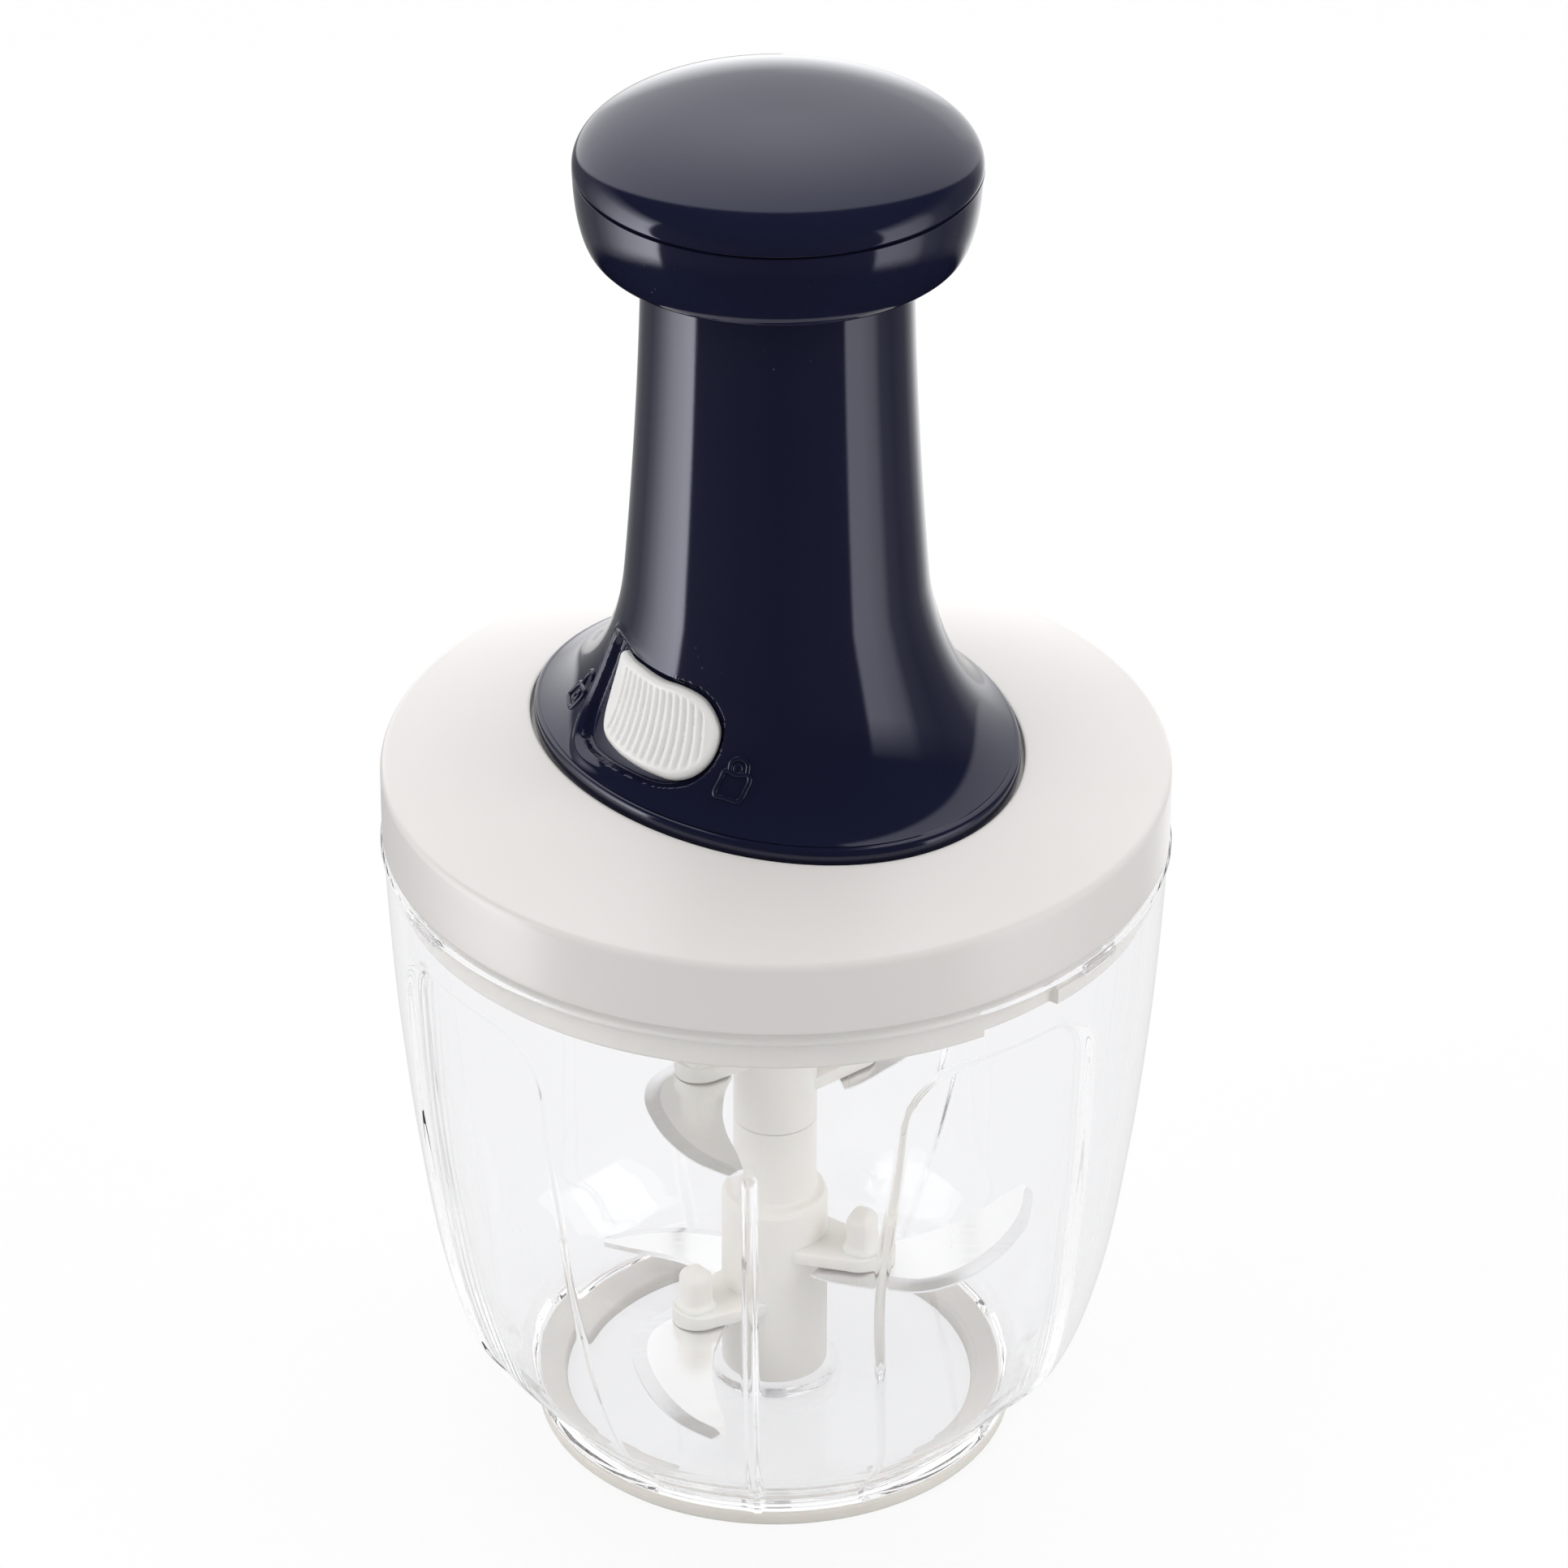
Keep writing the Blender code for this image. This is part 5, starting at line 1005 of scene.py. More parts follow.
@dataclass
class Lid(Assembly):
    """The domed cover, the base with its skirt, the seal and the screws."""

    crown: Crown = Crown()
    rounding: float = 0.0016
    thickness: float = 0.0022
    hole: float = 0.0205
    groove: tuple[Pairs, ...] = (
        (-0.0020, 0.0), (-0.0016, 0.0), (-0.0015, 0.0002), (-0.0015, 0.0018), (0.00050, 0.0018),
        (0.00055, 0.0016), (0.00058, 0.0006), (0.00066, 0.0002), (0.00085, 0.00004), (0.0013, 0.0),
    )
    cover_side: Pairs = (
        (0.0660, 0.1250), (0.0660, 0.1200), (0.0660, 0.1170), (0.06598, 0.11655), (0.06593, 0.11640),
        (0.06588, 0.11655), (0.06586, 0.11688), (0.0641, 0.1169), (0.0638, 0.1171), (0.0638, 0.1200),
        (0.0638, 0.1268),
    )
    skirt: float = 0.0623
    skirt_bottom: float = 0.1080
    skirt_rows: tuple[float, ...] = (0.1164, 0.11315, 0.1129, 0.1112, 0.11095, 0.1099, 0.1086, 0.1082)
    track_top: float = 0.1130
    track_bottom: float = 0.1110
    track_depth: float = 0.0006
    entry_depth: float = 0.0015
    track_bearings: tuple[float, float, float] = (-57.5, -43.5, -29.0)
    seal: Pairs = ((0.0630, 0.1166), (0.0631, 0.1160), (0.0629, 0.1154), (0.0612, 0.1154), (0.0612, 0.1166))

    def cover(self) -> Skin:
        """Build the cover: rows run out from its hole, through the groove, over the shoulder and back inside.

        A row's radius is the oval plus an offset near the groove, and a mix of oval and circle further out.

        Returns:
            The skin.
        """
        angles = around(240)
        oval = self.crown.oval(angles)
        corner = self.crown.radius - self.rounding
        drops = [(self.hole, self.thickness), (self.hole, 0.0)]
        drops += [(oval + offset, drop) for offset, drop in self.groove]
        drops += [
            ((oval + 0.0013) * (1 - share) + corner * share, 0.0) for share in np.linspace(0.06, 1.0, 20)
        ]
        back = [(radius, self.thickness) for radius in np.linspace(0.0620, 0.0225, 12)]
        bends = np.radians(np.linspace(68, 0, 9))[:, None]
        low = self.crown.dome(corner) - self.rounding
        edge = polar(corner + self.rounding * np.cos(bends), angles, low + self.rounding * np.sin(bends))
        top, under = (
            [polar(r, angles, self.crown.dome(r) - drop) for r, drop in rows] for rows in (drops, back)
        )
        return Skin.grid(np.concatenate((top, edge, spun(self.cover_side, angles), under)), wrap_rows=True)

    def base(self) -> Skin:
        """Build the base's skirt with its three bayonet tracks, and its plate.

        The skirt's outside is skirt - depth inside each track, whose edges fall between close columns. A
        track runs from its first bearing to its last, and is deeper and open below up to the second.

        Returns:
            The skin.
        """
        spans = np.radians(self.track_bearings) + THIRD * np.arange(3)[:, None]
        marks = spans[..., None] + np.radians((-0.12, 0.12))
        angles = np.union1d(around(240), marks.ravel() % math.tau)
        heights = np.array(self.skirt_rows)[:, None]
        outer = np.full((len(heights), len(angles)), self.skirt)
        below = heights < self.track_top
        for start, entry, end in spans:
            run = (angles - start + 0.01) % math.tau - 0.01
            track = below & (heights > self.track_bottom) & (run > 0) & (run < end - start)
            outer[track] = self.skirt - self.track_depth
            outer[below & (run > 0) & (run < entry - start)] = self.skirt - self.entry_depth
        inner = self.skirt - 0.0030
        upper = ((0.0635, 0.1189), (0.0635, 0.1170), (self.skirt, 0.1169))
        plate = (
            (self.skirt - 0.0028, self.skirt_bottom), (inner, 0.1083), (inner, 0.1124),
            (inner - 0.0006, 0.1130), (0.0300, 0.1130), (0.0106, 0.1130), (0.0106, 0.1204), (0.0130, 0.1204),
            (0.0130, 0.1152), (0.0300, 0.1152), (inner, 0.1152), (inner, 0.1189),
        )
        foot = polar(outer[-1:] - 0.0002, angles, self.skirt_bottom)
        rows = (spun(upper, angles), polar(outer, angles, heights), foot, spun(plate, angles))
        return Skin.grid(np.concatenate(rows), wrap_rows=True)

    def build(self) -> None:
        """Make the cover, the base and the seal with its bulged outer lip, and dress the screws."""
        self.place("domed_cover", self.cover(), "white", Body.LID, "white_gloss", "lid_cover")
        # The base wears the hub's lighter, warmer white rather than the cover's, so its skirt in shade under
        # the cover reads lighter: painted light over that shade
        self.place("bayonet_base", self.base(), "hub", Body.LID, "white_gloss", "lid_base")
        seal = lathe(soften(self.seal, 0.0003))
        self.place("lid_seal", seal, "gasket", Body.LID, "white_silicone", "lid_gasket")
        self.dress("bright", *(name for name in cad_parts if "_screw_" in name))


# Column and lock


@dataclass
class Column(Assembly):
    """The flared column with its lock recess, slider and padlock signs."""

    top: float = 0.2280
    top_radius: float = 0.0220
    flare_top: float = 0.1650
    flare_radius: float = 0.0251
    taper: float = 1.7
    wall: float = 0.0019
    lip: float = 0.0013
    lip_gap: float = 0.0003
    flare_end: float = math.radians(76.0)
    crown: Crown = Crown()
    edge_rows: Pairs = (
        (0.0040, 0.0), (0.0014, 0.0), (0.0013, -0.0002), (0.0013, -0.0015), (0.0001, -0.0015), (0.0, -0.0013),
        (0.0, 0.0004), (0.00004, 0.0008), (0.00018, 0.00115), (0.00048, 0.00142), (0.00085, 0.00156),
        (0.00130, 0.00163),
    )
    slider_outline: Pairs = (
        (201.3, 154.6), (203.2, 154.9), (208.0, 154.7), (214.2, 154.8), (221.0, 154.7), (227.1, 154.7),
        (232.5, 154.9), (237.6, 154.8), (242.0, 154.4), (245.6, 153.6), (249.2, 151.8), (251.4, 149.6),
        (251.0, 146.8), (248.6, 144.3), (244.5, 142.4), (239.0, 141.3), (232.6, 141.1), (223.8, 141.1),
        (214.5, 141.5), (208.2, 142.4), (204.6, 144.6), (202.5, 148.0), (201.4, 151.7),
    )
    slider_depth: float = 0.0009
    slider_rise: float = 0.0016
    slider_dome: float = 0.0003
    slider_middle: float = 0.1460
    rib_curve: float = 36000.0
    rib_start: float = 210.6
    rib_pitch: float = 2.95
    rib_depth: float = 0.00048
    rib_ends: Pairs = ((209.4, 210.8), (-248.0, -246.4))
    pocket_outline: Pairs = (
        (192.9, 155.6), (199.2, 156.2), (208.0, 155.9), (218.0, 155.8), (228.0, 155.8), (237.6, 155.9),
        (245.0, 155.1), (250.4, 153.0), (252.7, 150.4), (252.4, 147.0), (249.8, 143.9), (245.4, 141.6),
        (239.4, 140.3), (232.6, 139.7), (224.0, 139.5), (214.0, 139.3), (206.0, 139.3), (200.0, 140.3),
        (195.2, 142.9), (192.5, 146.5), (191.3, 150.4), (191.2, 153.4),
    )
    pocket_depth: float = 0.0014
    pocket_edge: tuple[float, float] = (-0.0007, 0.0002)
    bead: float = 0.00045
    bead_place: float = 0.0011
    bead_width: float = 0.0006
    closed_sign: tuple[Pairs, Pairs, Pairs] = (
        ((255.1, 144.4), (253.9, 143.0), (252.9, 141.5), (253.3, 140.9), (256.0, 140.8), (259.3, 140.6),
         (260.5, 141.0), (261.6, 142.2), (262.5, 143.5), (261.5, 144.2), (258.4, 144.0)),
        ((256.2, 144.3), (256.4, 145.4), (257.6, 146.1), (259.3, 146.3), (260.8, 146.0), (261.7, 145.3),
         (261.6, 144.3)),
        ((257.7, 144.7), (258.1, 145.3), (259.4, 145.5), (260.3, 145.0), (259.9, 144.4), (258.6, 144.2)),
    )
    open_sign: tuple[Pairs, Pairs, Pairs] = (
        ((181.2, 143.2), (180.4, 141.8), (180.6, 140.7), (183.4, 140.5), (186.6, 140.4), (187.6, 141.0),
         (188.0, 142.4), (187.5, 143.5), (184.2, 143.4)),
        ((183.0, 143.5), (182.2, 144.6), (182.8, 145.7), (184.6, 146.3), (186.3, 146.0), (187.3, 145.2)),
        ((183.7, 142.0), (184.3, 142.6), (185.2, 142.4), (185.3, 141.7), (184.5, 141.3)),
    )
    line_half: float = 0.00046
    boss_half: float = 0.00034
    degree: float = 0.00047

    def plain_radius(self, height: Array) -> Array:
        """Radius of the taper without the flare, at a height."""
        drop = np.clip((self.top - height) / (self.top - self.flare_top), 0, None)
        return self.top_radius + (self.flare_radius - self.top_radius) * drop**self.taper

    def lip_height(self, angle: Array) -> Array:
        """Height of the flange's lip at an angle, just over the lid's dome."""
        return self.crown.dome(self.crown.oval(angle)) + self.lip_gap + self.lip

    def radius(self, height: Array, angle: Array) -> Array:
        """Radius of the outside: the taper plus the flare, a quarter turn of an arc down to the oval edge.

        Args:
            height: heights.
            angle: angles.

        Returns:
            The radii.
        """
        edge, lip = self.crown.oval(angle), self.lip_height(angle)
        sweep = np.arcsin(
            np.clip((self.flare_top - height) / (self.flare_top - lip), 0, 1) * math.sin(self.flare_end)
        )
        swell = (1 - np.cos(sweep)) / (1 - math.cos(self.flare_end))
        return self.plain_radius(height) + (edge - self.plain_radius(lip)) * swell

    def on_side(self, angle: Array, height: Array, out: Array | float) -> Array:
        """Points on the outside, moved square to it by a distance.

        The direction is (1, -dr/dz) in the plane through the axis, made a unit.

        Args:
            angle: angles.
            height: heights.
            out: distances outwards.

        Returns:
            The points.
        """
        small = 0.00005
        slope = (self.radius(height + small, angle) - self.radius(height - small, angle)) / (2 * small)
        scale = 1 / np.hypot(1, slope)
        return polar(self.radius(height, angle) + out * scale, angle, height - out * slope * scale)

    def loop(self, corners: Pairs, count: int) -> Array:
        """Run a closed curve through corners of (degrees, millimetres up), as rows of (angle, height)."""
        stretch = np.array((self.degree * 1000, 1.0))
        return closed_curve(np.array(corners) * stretch, count) / stretch * (math.radians(1), 0.001)

    def loop_distance(self, loop: Array, angle: Array, height: Array) -> Array:
        """Signed distance from points on the side to a loop on it, less than 0 inside.

        Each point takes its nearest point of the loop, and the sign of the turn from the loop's run to the
        point.

        Args:
            loop: rows of (angle, height).
            angle: angles of the points.
            height: their heights.

        Returns:
            The distances in metres.
        """
        scale = math.degrees(1) * self.degree
        flat = loop * (scale, 1.0)
        gap = np.stack(np.broadcast_arrays(angle * scale, height), axis=-1)[..., None, :] - flat
        size = np.linalg.norm(gap, axis=-1)
        nearest = size.argmin(axis=-1)
        side = np.take_along_axis(gap, nearest[..., None, None], axis=-2)[..., 0, :]
        following = np.roll(flat, -1, 0)
        run = (following - np.roll(flat, 1, 0))[nearest]
        turn = run[..., 0] * side[..., 1] - run[..., 1] * side[..., 0]
        area = (flat[:, 0] * following[:, 1] - flat[:, 1] * following[:, 0]).sum()
        return np.where(turn * area > 0, -1.0, 1.0) * size.min(axis=-1)

    def shell(self) -> Skin:
        """Build the column: flange, flare and taper outside with the slider's recess, and a plain inside.

        The recess is a soft step over the distance to its outline, with a bead, a bell curve, just outside
        it.

        Returns:
            The skin.
        """
        angles = np.radians(np.concatenate((np.arange(186.0, 270.0, 0.5), np.arange(270.0, 546.0, 2.5))))
        lip, edge = self.lip_height(angles), self.crown.oval(angles)
        drop = (self.flare_top - lip) / math.sin(self.flare_end)
        rows = [polar(edge - inset, angles, lip - self.lip + rise)[None] for inset, rise in self.edge_rows]
        sweep = spread((0, 0.14, 5), (0.15, 0.90, 84), (0.91, 0.955, 5))
        heights = self.flare_top - drop * np.sin(sweep[::-1, None] * self.flare_end)
        span = np.broadcast_to(angles, heights.shape)
        dense = span < math.radians(275)
        distance = np.full(span.shape, 0.01)
        distance[dense] = self.loop_distance(self.loop(self.pocket_outline, 200), span[dense], heights[dense])
        pressed = self.pocket_depth * (1 - step_between(distance, *self.pocket_edge))
        beside = step_between(-span, math.radians(-222), math.radians(-205))
        bead = self.bead * np.exp(-(((distance - self.bead_place) / self.bead_width) ** 2)) * beside
        upper = np.linspace(self.flare_top + 0.003, self.top - 0.0006, 22)
        inner = np.linspace(self.top - 0.002, self.flare_top, 6)
        low = self.flare_top - drop * np.sin(np.linspace(0.15, 0.95, 8)[:, None] * self.flare_end)
        rows += [
            self.on_side(span, heights, bead - pressed),
            spun(np.stack((self.plain_radius(upper), upper), axis=1), angles),
            spun(((self.top_radius - 0.0005, self.top), (self.top_radius - self.wall, self.top)), angles),
            spun(np.stack((self.plain_radius(inner) - self.wall, inner), axis=1), angles),
            self.on_side(angles, low, -self.wall),
        ]
        return Skin.grid(np.concatenate(rows), wrap_rows=True)

    def slider(self) -> Skin:
        """Build the slider: rings shrink from the outline to its middle, domed, with curved ribs across it.

        A ring at share s is middle + s (outline - middle). The rise is a shoulder, a low dome and ridges
        |sin|^0.7 across the bearing, which fade before the edge.

        Returns:
            The skin.
        """
        loop = self.loop(self.slider_outline, 260)
        share = spread((0.02, 0.88, 56), (0.895, 1.0, 12))[:, None]
        angle, height = (middle + share * (line - middle) for middle, line in zip(loop.mean(axis=0), loop.T))
        inset = -self.loop_distance(loop, angle, height)
        shoulder = np.sqrt(np.clip(1 - (1 - np.clip(inset / 0.0010, 0, 1)) ** 2, 0, 1))
        place = np.degrees(angle) + self.rib_curve * (height - self.slider_middle) ** 2
        ridge = np.abs(np.sin((place - self.rib_start) / self.rib_pitch * math.pi)) ** 0.7
        ends = step_between(place, *self.rib_ends[0]) * step_between(-place, *self.rib_ends[1])
        ribs = self.rib_depth * (ridge - 1) * step_between(inset, 0.0009, 0.0017) * ends
        out = self.slider_rise * shoulder + self.slider_dome * step_between(inset, 0.0, 0.006) + ribs
        top, under = (self.on_side(angle, height, rise - self.slider_depth) for rise in (out, 0.0))
        return Skin.grid(np.concatenate((top, under[::-1])), cap=True)

    def stroke(self, corners: Pairs, closed: bool, half: float) -> Skin:
        """Build a raised line on the side: a round section carried along a smooth path.

        Args:
            corners: rows of (degrees, millimetres up) that the path passes.
            closed: whether it is a loop.
            half: the line's half width.

        Returns:
            The skin.
        """
        path = self.loop(corners, 90) if closed else through(corners, 90) * (math.radians(1), 0.001)
        centre = self.on_side(*path.T, 0.0)
        outward = unit(self.on_side(*path.T, 0.001) - centre)
        ahead = np.roll(centre, -1, 0) - np.roll(centre, 1, 0) if closed else np.gradient(centre, axis=0)
        return wire(centre, half * np.cross(unit(ahead), outward), 0.9 * half * outward, closed)

    def sign(self, body: Pairs, shackle: Pairs, boss: Pairs) -> Skin:
        """Build a padlock sign: its body, its shackle and a smaller boss."""
        plain = self.stroke(body, True, self.line_half) + self.stroke(shackle, False, self.line_half)
        return plain + self.stroke(boss, True, self.boss_half)

    def build(self) -> None:
        """Make the column, the slider and the signs, and dress what is inside."""
        self.place("flared_column", self.shell(), "navy", Body.LID, "navy_gloss", "column")
        self.place("ribbed_slider", self.slider(), "ribbed", Body.LOCK, "white_gloss", "lock_slider")
        self.place("padlock_closed", self.sign(*self.closed_sign), "navy", Body.LID, "navy_gloss")
        self.place("padlock_open", self.sign(*self.open_sign), "navy", Body.LID, "navy_gloss")
        self.dress("acetal", "guide_bush", "lock_bolt")


# Plunger and knob


@dataclass
class Knob(Assembly):
    """The knob's two shells, the plunger tube and the return spring."""

    radius: float = 0.0329
    seam: float = 0.2386
    crown: float = 0.2478
    power: float = 3.2
    under: float = 0.2248
    under_radius: float = 0.0296
    opening: float = 0.0229
    cap_rows: Pairs = (
        (-0.0001, -0.00015), (-0.0005, -0.0002), (-0.0014, -0.0002), (-0.0023, -0.0003), (-0.0023, -0.0034),
        (-0.0035, -0.0034), (-0.0037, 0.0030), (-0.0049, 0.0045),
    )
    cup_rows: Pairs = ((0.0, 0.0060), (-0.0020, 0.0024), (-0.0040, 0.0021))
    rim_rows: Pairs = ((-0.0002, 0.0001), (-0.0016, 0.0001), (-0.0022, -0.0004))
    swell: Pairs = ((0.0, 0.0), (0.10, 0.36), (0.30, 0.66), (0.55, 0.86), (0.80, 0.96), (1.0, 1.0))
    spring_radius: float = 0.0130
    spring_wire: float = 0.0008
    spring_turns: float = 8.0
    spring_ends: tuple[float, float] = (0.1386, 0.2317)
    spring_climb: Pairs = ((0, 0), (0.10, 0.015), (0.90, 0.985), (1, 1))

    def cap(self) -> Skin:
        """Build the cap: its top is z = seam + rise (1 - (r/R)^p)^(1/2), softened into the seam's groove.

        Returns:
            The skin.
        """
        sweep = np.linspace(0, math.pi / 2, 44)
        bottom = self.seam + 0.0003
        rise = (self.crown - bottom) * np.cos(sweep)
        dome = np.stack((self.radius * np.sin(sweep) ** (2 / self.power), bottom + rise), axis=1)
        groove = np.array(self.cap_rows) + (self.radius, bottom)
        inside = np.stack((np.linspace(groove[-1, 0], 0.0, 10), np.full(10, self.crown - 0.0030)), axis=1)
        return lathe(np.vstack((dome, groove, inside[1:])), closed=False)

    def cup(self) -> Skin:
        """Build the cup: a side that swells from the underside to the seam, hollow inside.

        Returns:
            The skin.
        """
        up = np.linspace(0, 1, 30)
        under, edge, top = self.under, self.under_radius, self.seam - 0.0003
        side = np.stack(
            (edge + (self.radius - edge) * flow(self.swell, up), under + (top - under) * up), axis=1
        )
        side[0, 1] = under + 0.0004
        lower = (
            (self.opening, under + 0.0021), (self.opening, under + 0.0004), (self.opening + 0.0004, under),
            (edge - 0.0010, under), (edge - 0.0003, under + 0.0001),
        )
        rim, inside = np.array(self.rim_rows) + (self.radius, top), np.array(self.cup_rows) + (edge, under)
        return lathe(np.vstack((lower, side, rim, inside)))

    def spring(self) -> Skin:
        """Build the return spring: a round wire along a helix whose end turns lie flat.

        Returns:
            The skin.
        """
        share = np.linspace(0, 1, 640)
        low, high = self.spring_ends[0] + self.spring_wire, self.spring_ends[1] - self.spring_wire
        angle = share * self.spring_turns * math.tau
        centre = polar(self.spring_radius, angle, low + (high - low) * flow(self.spring_climb, share))
        outward = polar(self.spring_wire, angle, 0.0)
        return wire(centre, outward, np.cross(unit(np.gradient(centre, axis=0)), outward))

    def build(self) -> None:
        """Make the knob and spring, and dress the plunger."""
        self.place("knob_top", self.cap(), "navy", Body.PLUNGER, "navy_gloss", "knob_cap")
        self.place("knob_bottom", self.cup(), "navy", Body.PLUNGER, "navy_gloss", "knob_cup")
        self.place("return_spring", self.spring(), "bright", Body.LID, "bright_steel", "main_spring")
        self.dress("acetal", "plunger_tube", "nut_tube", "drive_nut")


# Stage


@dataclass(frozen=True)
class Lamp:
    """A soft rectangular lamp: its name, its place, its width and height, and its watts."""

    name: str
    place: tuple[float, float, float]
    size: tuple[float, float]
    power: float


@dataclass
class Studio:
    """The pale floor, the soft lights and the camera."""

    camera_place: tuple[float, float, float] = (0.0013, -1.0602, 0.7674)
    camera_tilt: float = math.radians(58.72)
    camera_roll: float = math.radians(0.23)
    lens: float = 170.5
    bounces: int = 40
    aim: tuple[float, float, float] = (0.0, 0.0, 0.12)
    lamps: tuple[Lamp, ...] = (
        Lamp("left_softbox", (-1.1, -0.5, 1.2), (0.9, 0.9), 5.5),
        Lamp("right_softbox", (1.2, -0.3, 0.9), (0.6, 1.0), 4.5),
        Lamp("top_softbox", (0.0, 0.4, 1.6), (1.2, 1.0), 6.5),
    )
    floor_white: float = 0.86
    floor_through: float = 0.78
    mirrored_white: float = 0.72
    inner_white: float = 1.17
    horizon: float = 1.5
    canopy: float = 1.3
    canopy_swing: float = -0.4
    light: float = 0.66
    light_swing: float = 0.30
    brightest: float = 5.0
    softboxes: Pairs = (
        (0.000, 0.50), (0.060, 0.30), (0.100, 0.22), (0.150, 0.25), (0.178, 0.6), (0.205, 1.4), (0.236, 2.8),
        (0.268, 4.2), (0.285, 5.0), (0.297, 5.0), (0.303, 0.10), (0.500, 0.02), (0.657, 0.06), (0.664, 2.2),
        (0.700, 1.9), (0.738, 1.2), (0.758, 0.35), (0.800, 0.15), (0.860, 0.2), (0.895, 0.6), (0.930, 1.3),
        (1.000, 1.5),
    )
    softbox_heights: Pairs = ((0.00, 0.0), (0.205, 0.0), (0.228, 1.0), (0.63, 1.0), (0.78, 0.0), (1.00, 0.0))

    def floor(self) -> None:
        """Lay the floor: plain for light, and partly white to the camera and through clear plastic."""
        bpy.ops.mesh.primitive_plane_add(size=12, location=(0, 0, 0))
        plane = bpy.context.object
        plane.name = "floor"
        made, graph, shader, _ = start_material("pale_floor")
        graph.feed(shader, {"Base Color": (0.94, 0.94, 0.94), "Roughness": 0.9, "Specular IOR Level": 0.0})
        path = graph.add("LightPath").outputs
        seen = graph.math("MULTIPLY", path["Is Camera Ray"], self.floor_white)
        through_clear = graph.math("MULTIPLY", path["Is Transmission Ray"], self.floor_through)
        share = graph.math("MAXIMUM", seen, through_clear)
        graph.show(share, shader.outputs[0], graph.add("Emission").outputs[0])
        plane.data.materials.append(made)
        plane.visible_glossy = False

    def ramp(self, graph: Graph, at: Socket, stops: Pairs) -> Socket:
        """Read a level from stops.

        Args:
            graph: the node tree.
            at: where to read, from 0 to 1.
            stops: rows of (place, level).

        Returns:
            The level's socket.
        """
        node = graph.add("ValToRGB", {"Fac": at})
        elements = node.color_ramp.elements
        for index, (place, level) in enumerate(stops):
            element = elements[index] if index < 2 else elements.new(place)
            element.position = place
            element.color = (*[level / self.brightest] * 3, 1.0)
        return graph.math("MULTIPLY", node.outputs["Color"], self.brightest)

    def sky(self) -> None:
        """Colour the world: white to the camera and through clear plastic, plain grey for light.

        Clear plastic, whose rays are singular, mirrors one pale grey, so that its edges show without dark
        lines. What is inside it mirrors one white. What glossy faces mirror comes from the direction (x, y,
        z). A tall softbox on each side is a ramp over the azimuth atan2(x, -y), held between two heights by a
        ramp over z. A canopy over and behind the chopper is a smooth step over y + 0.62 z, brighter at the
        left and down at the horizon.
        """
        world = bpy.data.worlds.new("studio")
        bpy.context.scene.world = world
        world.use_nodes = True
        graph = Graph(world.node_tree)
        path = graph.add("LightPath").outputs
        kinds = ("Camera", "Glossy", "Singular", "Transmission")
        seen, glossy, singular, clear = (path[f"Is {kind} Ray"] for kind in kinds)
        x, y, z = graph.add("SeparateXYZ", {0: graph.add("TexCoord").outputs["Generated"]}).outputs
        azimuth = graph.math("ARCTAN2", x, graph.math("MULTIPLY", y, -1.0))
        boxes = self.ramp(graph, graph.math("MULTIPLY_ADD", azimuth, 1 / math.tau, 0.5), self.softboxes)
        window = self.ramp(graph, graph.math("MULTIPLY_ADD", z, 0.5, 0.5), self.softbox_heights)
        canopy = graph.remap(graph.math("MULTIPLY_ADD", z, 0.62, y), 0.74, 0.80, curve="SMOOTHSTEP")
        level = graph.math("MULTIPLY_ADD", x, self.canopy_swing, self.canopy)
        level = graph.math("MULTIPLY_ADD", graph.remap(y, 0.965, 1.0), self.horizon, level)
        mirrored = graph.math(
            "MAXIMUM", graph.math("MULTIPLY", boxes, window), graph.math("MULTIPLY", canopy, level)
        )
        sharp = graph.math("MAXIMUM", graph.math("MAXIMUM", seen, clear), singular)
        light = graph.math("MULTIPLY_ADD", y, self.light_swing, self.light)
        out = graph.mix(sharp, light, 1.0, False)
        out = graph.mix(graph.math("SUBTRACT", glossy, sharp, clamp=True), out, mirrored, False)
        out = graph.mix(graph.math("MULTIPLY", glossy, singular, clamp=True), out, self.mirrored_white, False)
        inner = graph.math("MULTIPLY", path["Glossy Depth"], clear, clamp=True)
        out = graph.mix(inner, out, self.inner_white, False)
        graph.feed(graph.tree.nodes["Background"], {"Strength": out, "Color": (1.0, 1.0, 1.0)})

    def hang(self, lamp: Lamp) -> None:
        """Hang a lamp that faces the chopper.

        Args:
            lamp: the lamp.
        """
        data = bpy.data.lights.new(lamp.name, "AREA")
        data.shape = "RECTANGLE"
        data.size, data.size_y = lamp.size
        data.energy = lamp.power
        hung = bpy.data.objects.new(lamp.name, data)
        hung.location = lamp.place
        hung.rotation_euler = (Vector(self.aim) - Vector(lamp.place)).to_track_quat("-Z", "Y").to_euler()
        hung.visible_glossy = False
        bpy.context.scene.collection.objects.link(hung)

    def camera(self) -> None:
        """Set the camera where the photograph was taken."""
        data = bpy.data.cameras.new("camera")
        data.lens = self.lens
        data.sensor_width = 36.0
        data.clip_start, data.clip_end = 0.05, 50.0
        view = bpy.data.objects.new("camera", data)
        view.location = self.camera_place
        turn = Matrix.Rotation(self.camera_tilt, 3, "X") @ Matrix.Rotation(self.camera_roll, 3, "Z")
        view.rotation_euler = turn.to_euler()
        bpy.context.scene.collection.objects.link(view)
        bpy.context.scene.camera = view

    def build(self) -> None:
        """Set the stage."""
        self.camera()
        self.floor()
        self.sky()
        for lamp in self.lamps:
            self.hang(lamp)
        bpy.context.scene.view_settings.view_transform = "Standard"
        cycles = bpy.context.scene.cycles
        cycles.max_bounces = cycles.transmission_bounces = cycles.glossy_bounces = self.bounces


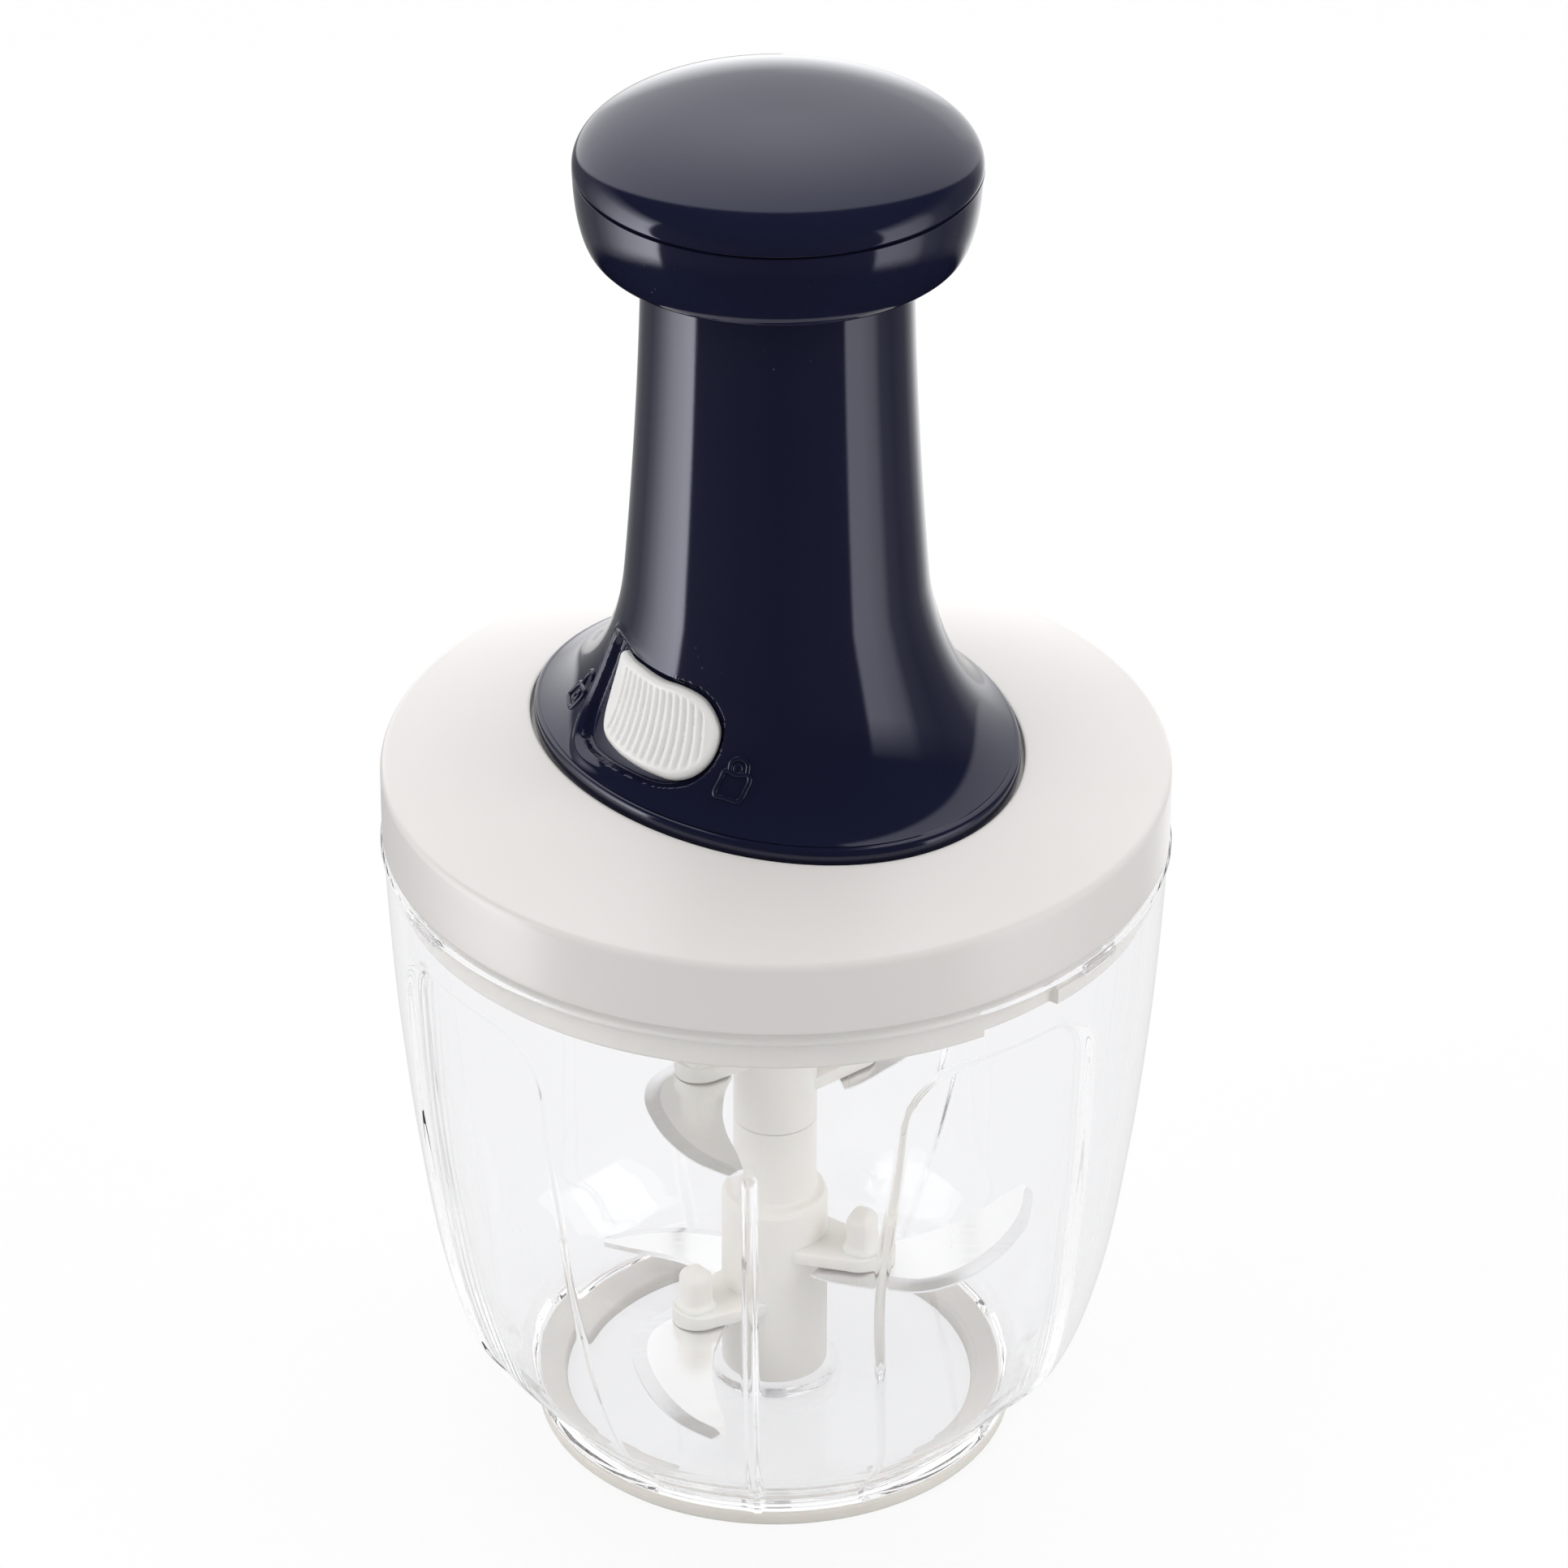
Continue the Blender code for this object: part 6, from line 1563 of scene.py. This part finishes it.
def main() -> None:
    """Build the stage and every sub-assembly."""
    logging.basicConfig(level=logging.INFO, format="%(name)s %(message)s")
    Studio().build()
    finishes = {name: finish.build() for name, finish in FINISHES.items()}
    for kind in (Bowl, BladeStack, Lid, Column, Knob):
        kind(finishes).build()
        LOG.info("%s built", kind.__name__)


if __name__ == "__main__":
    main()
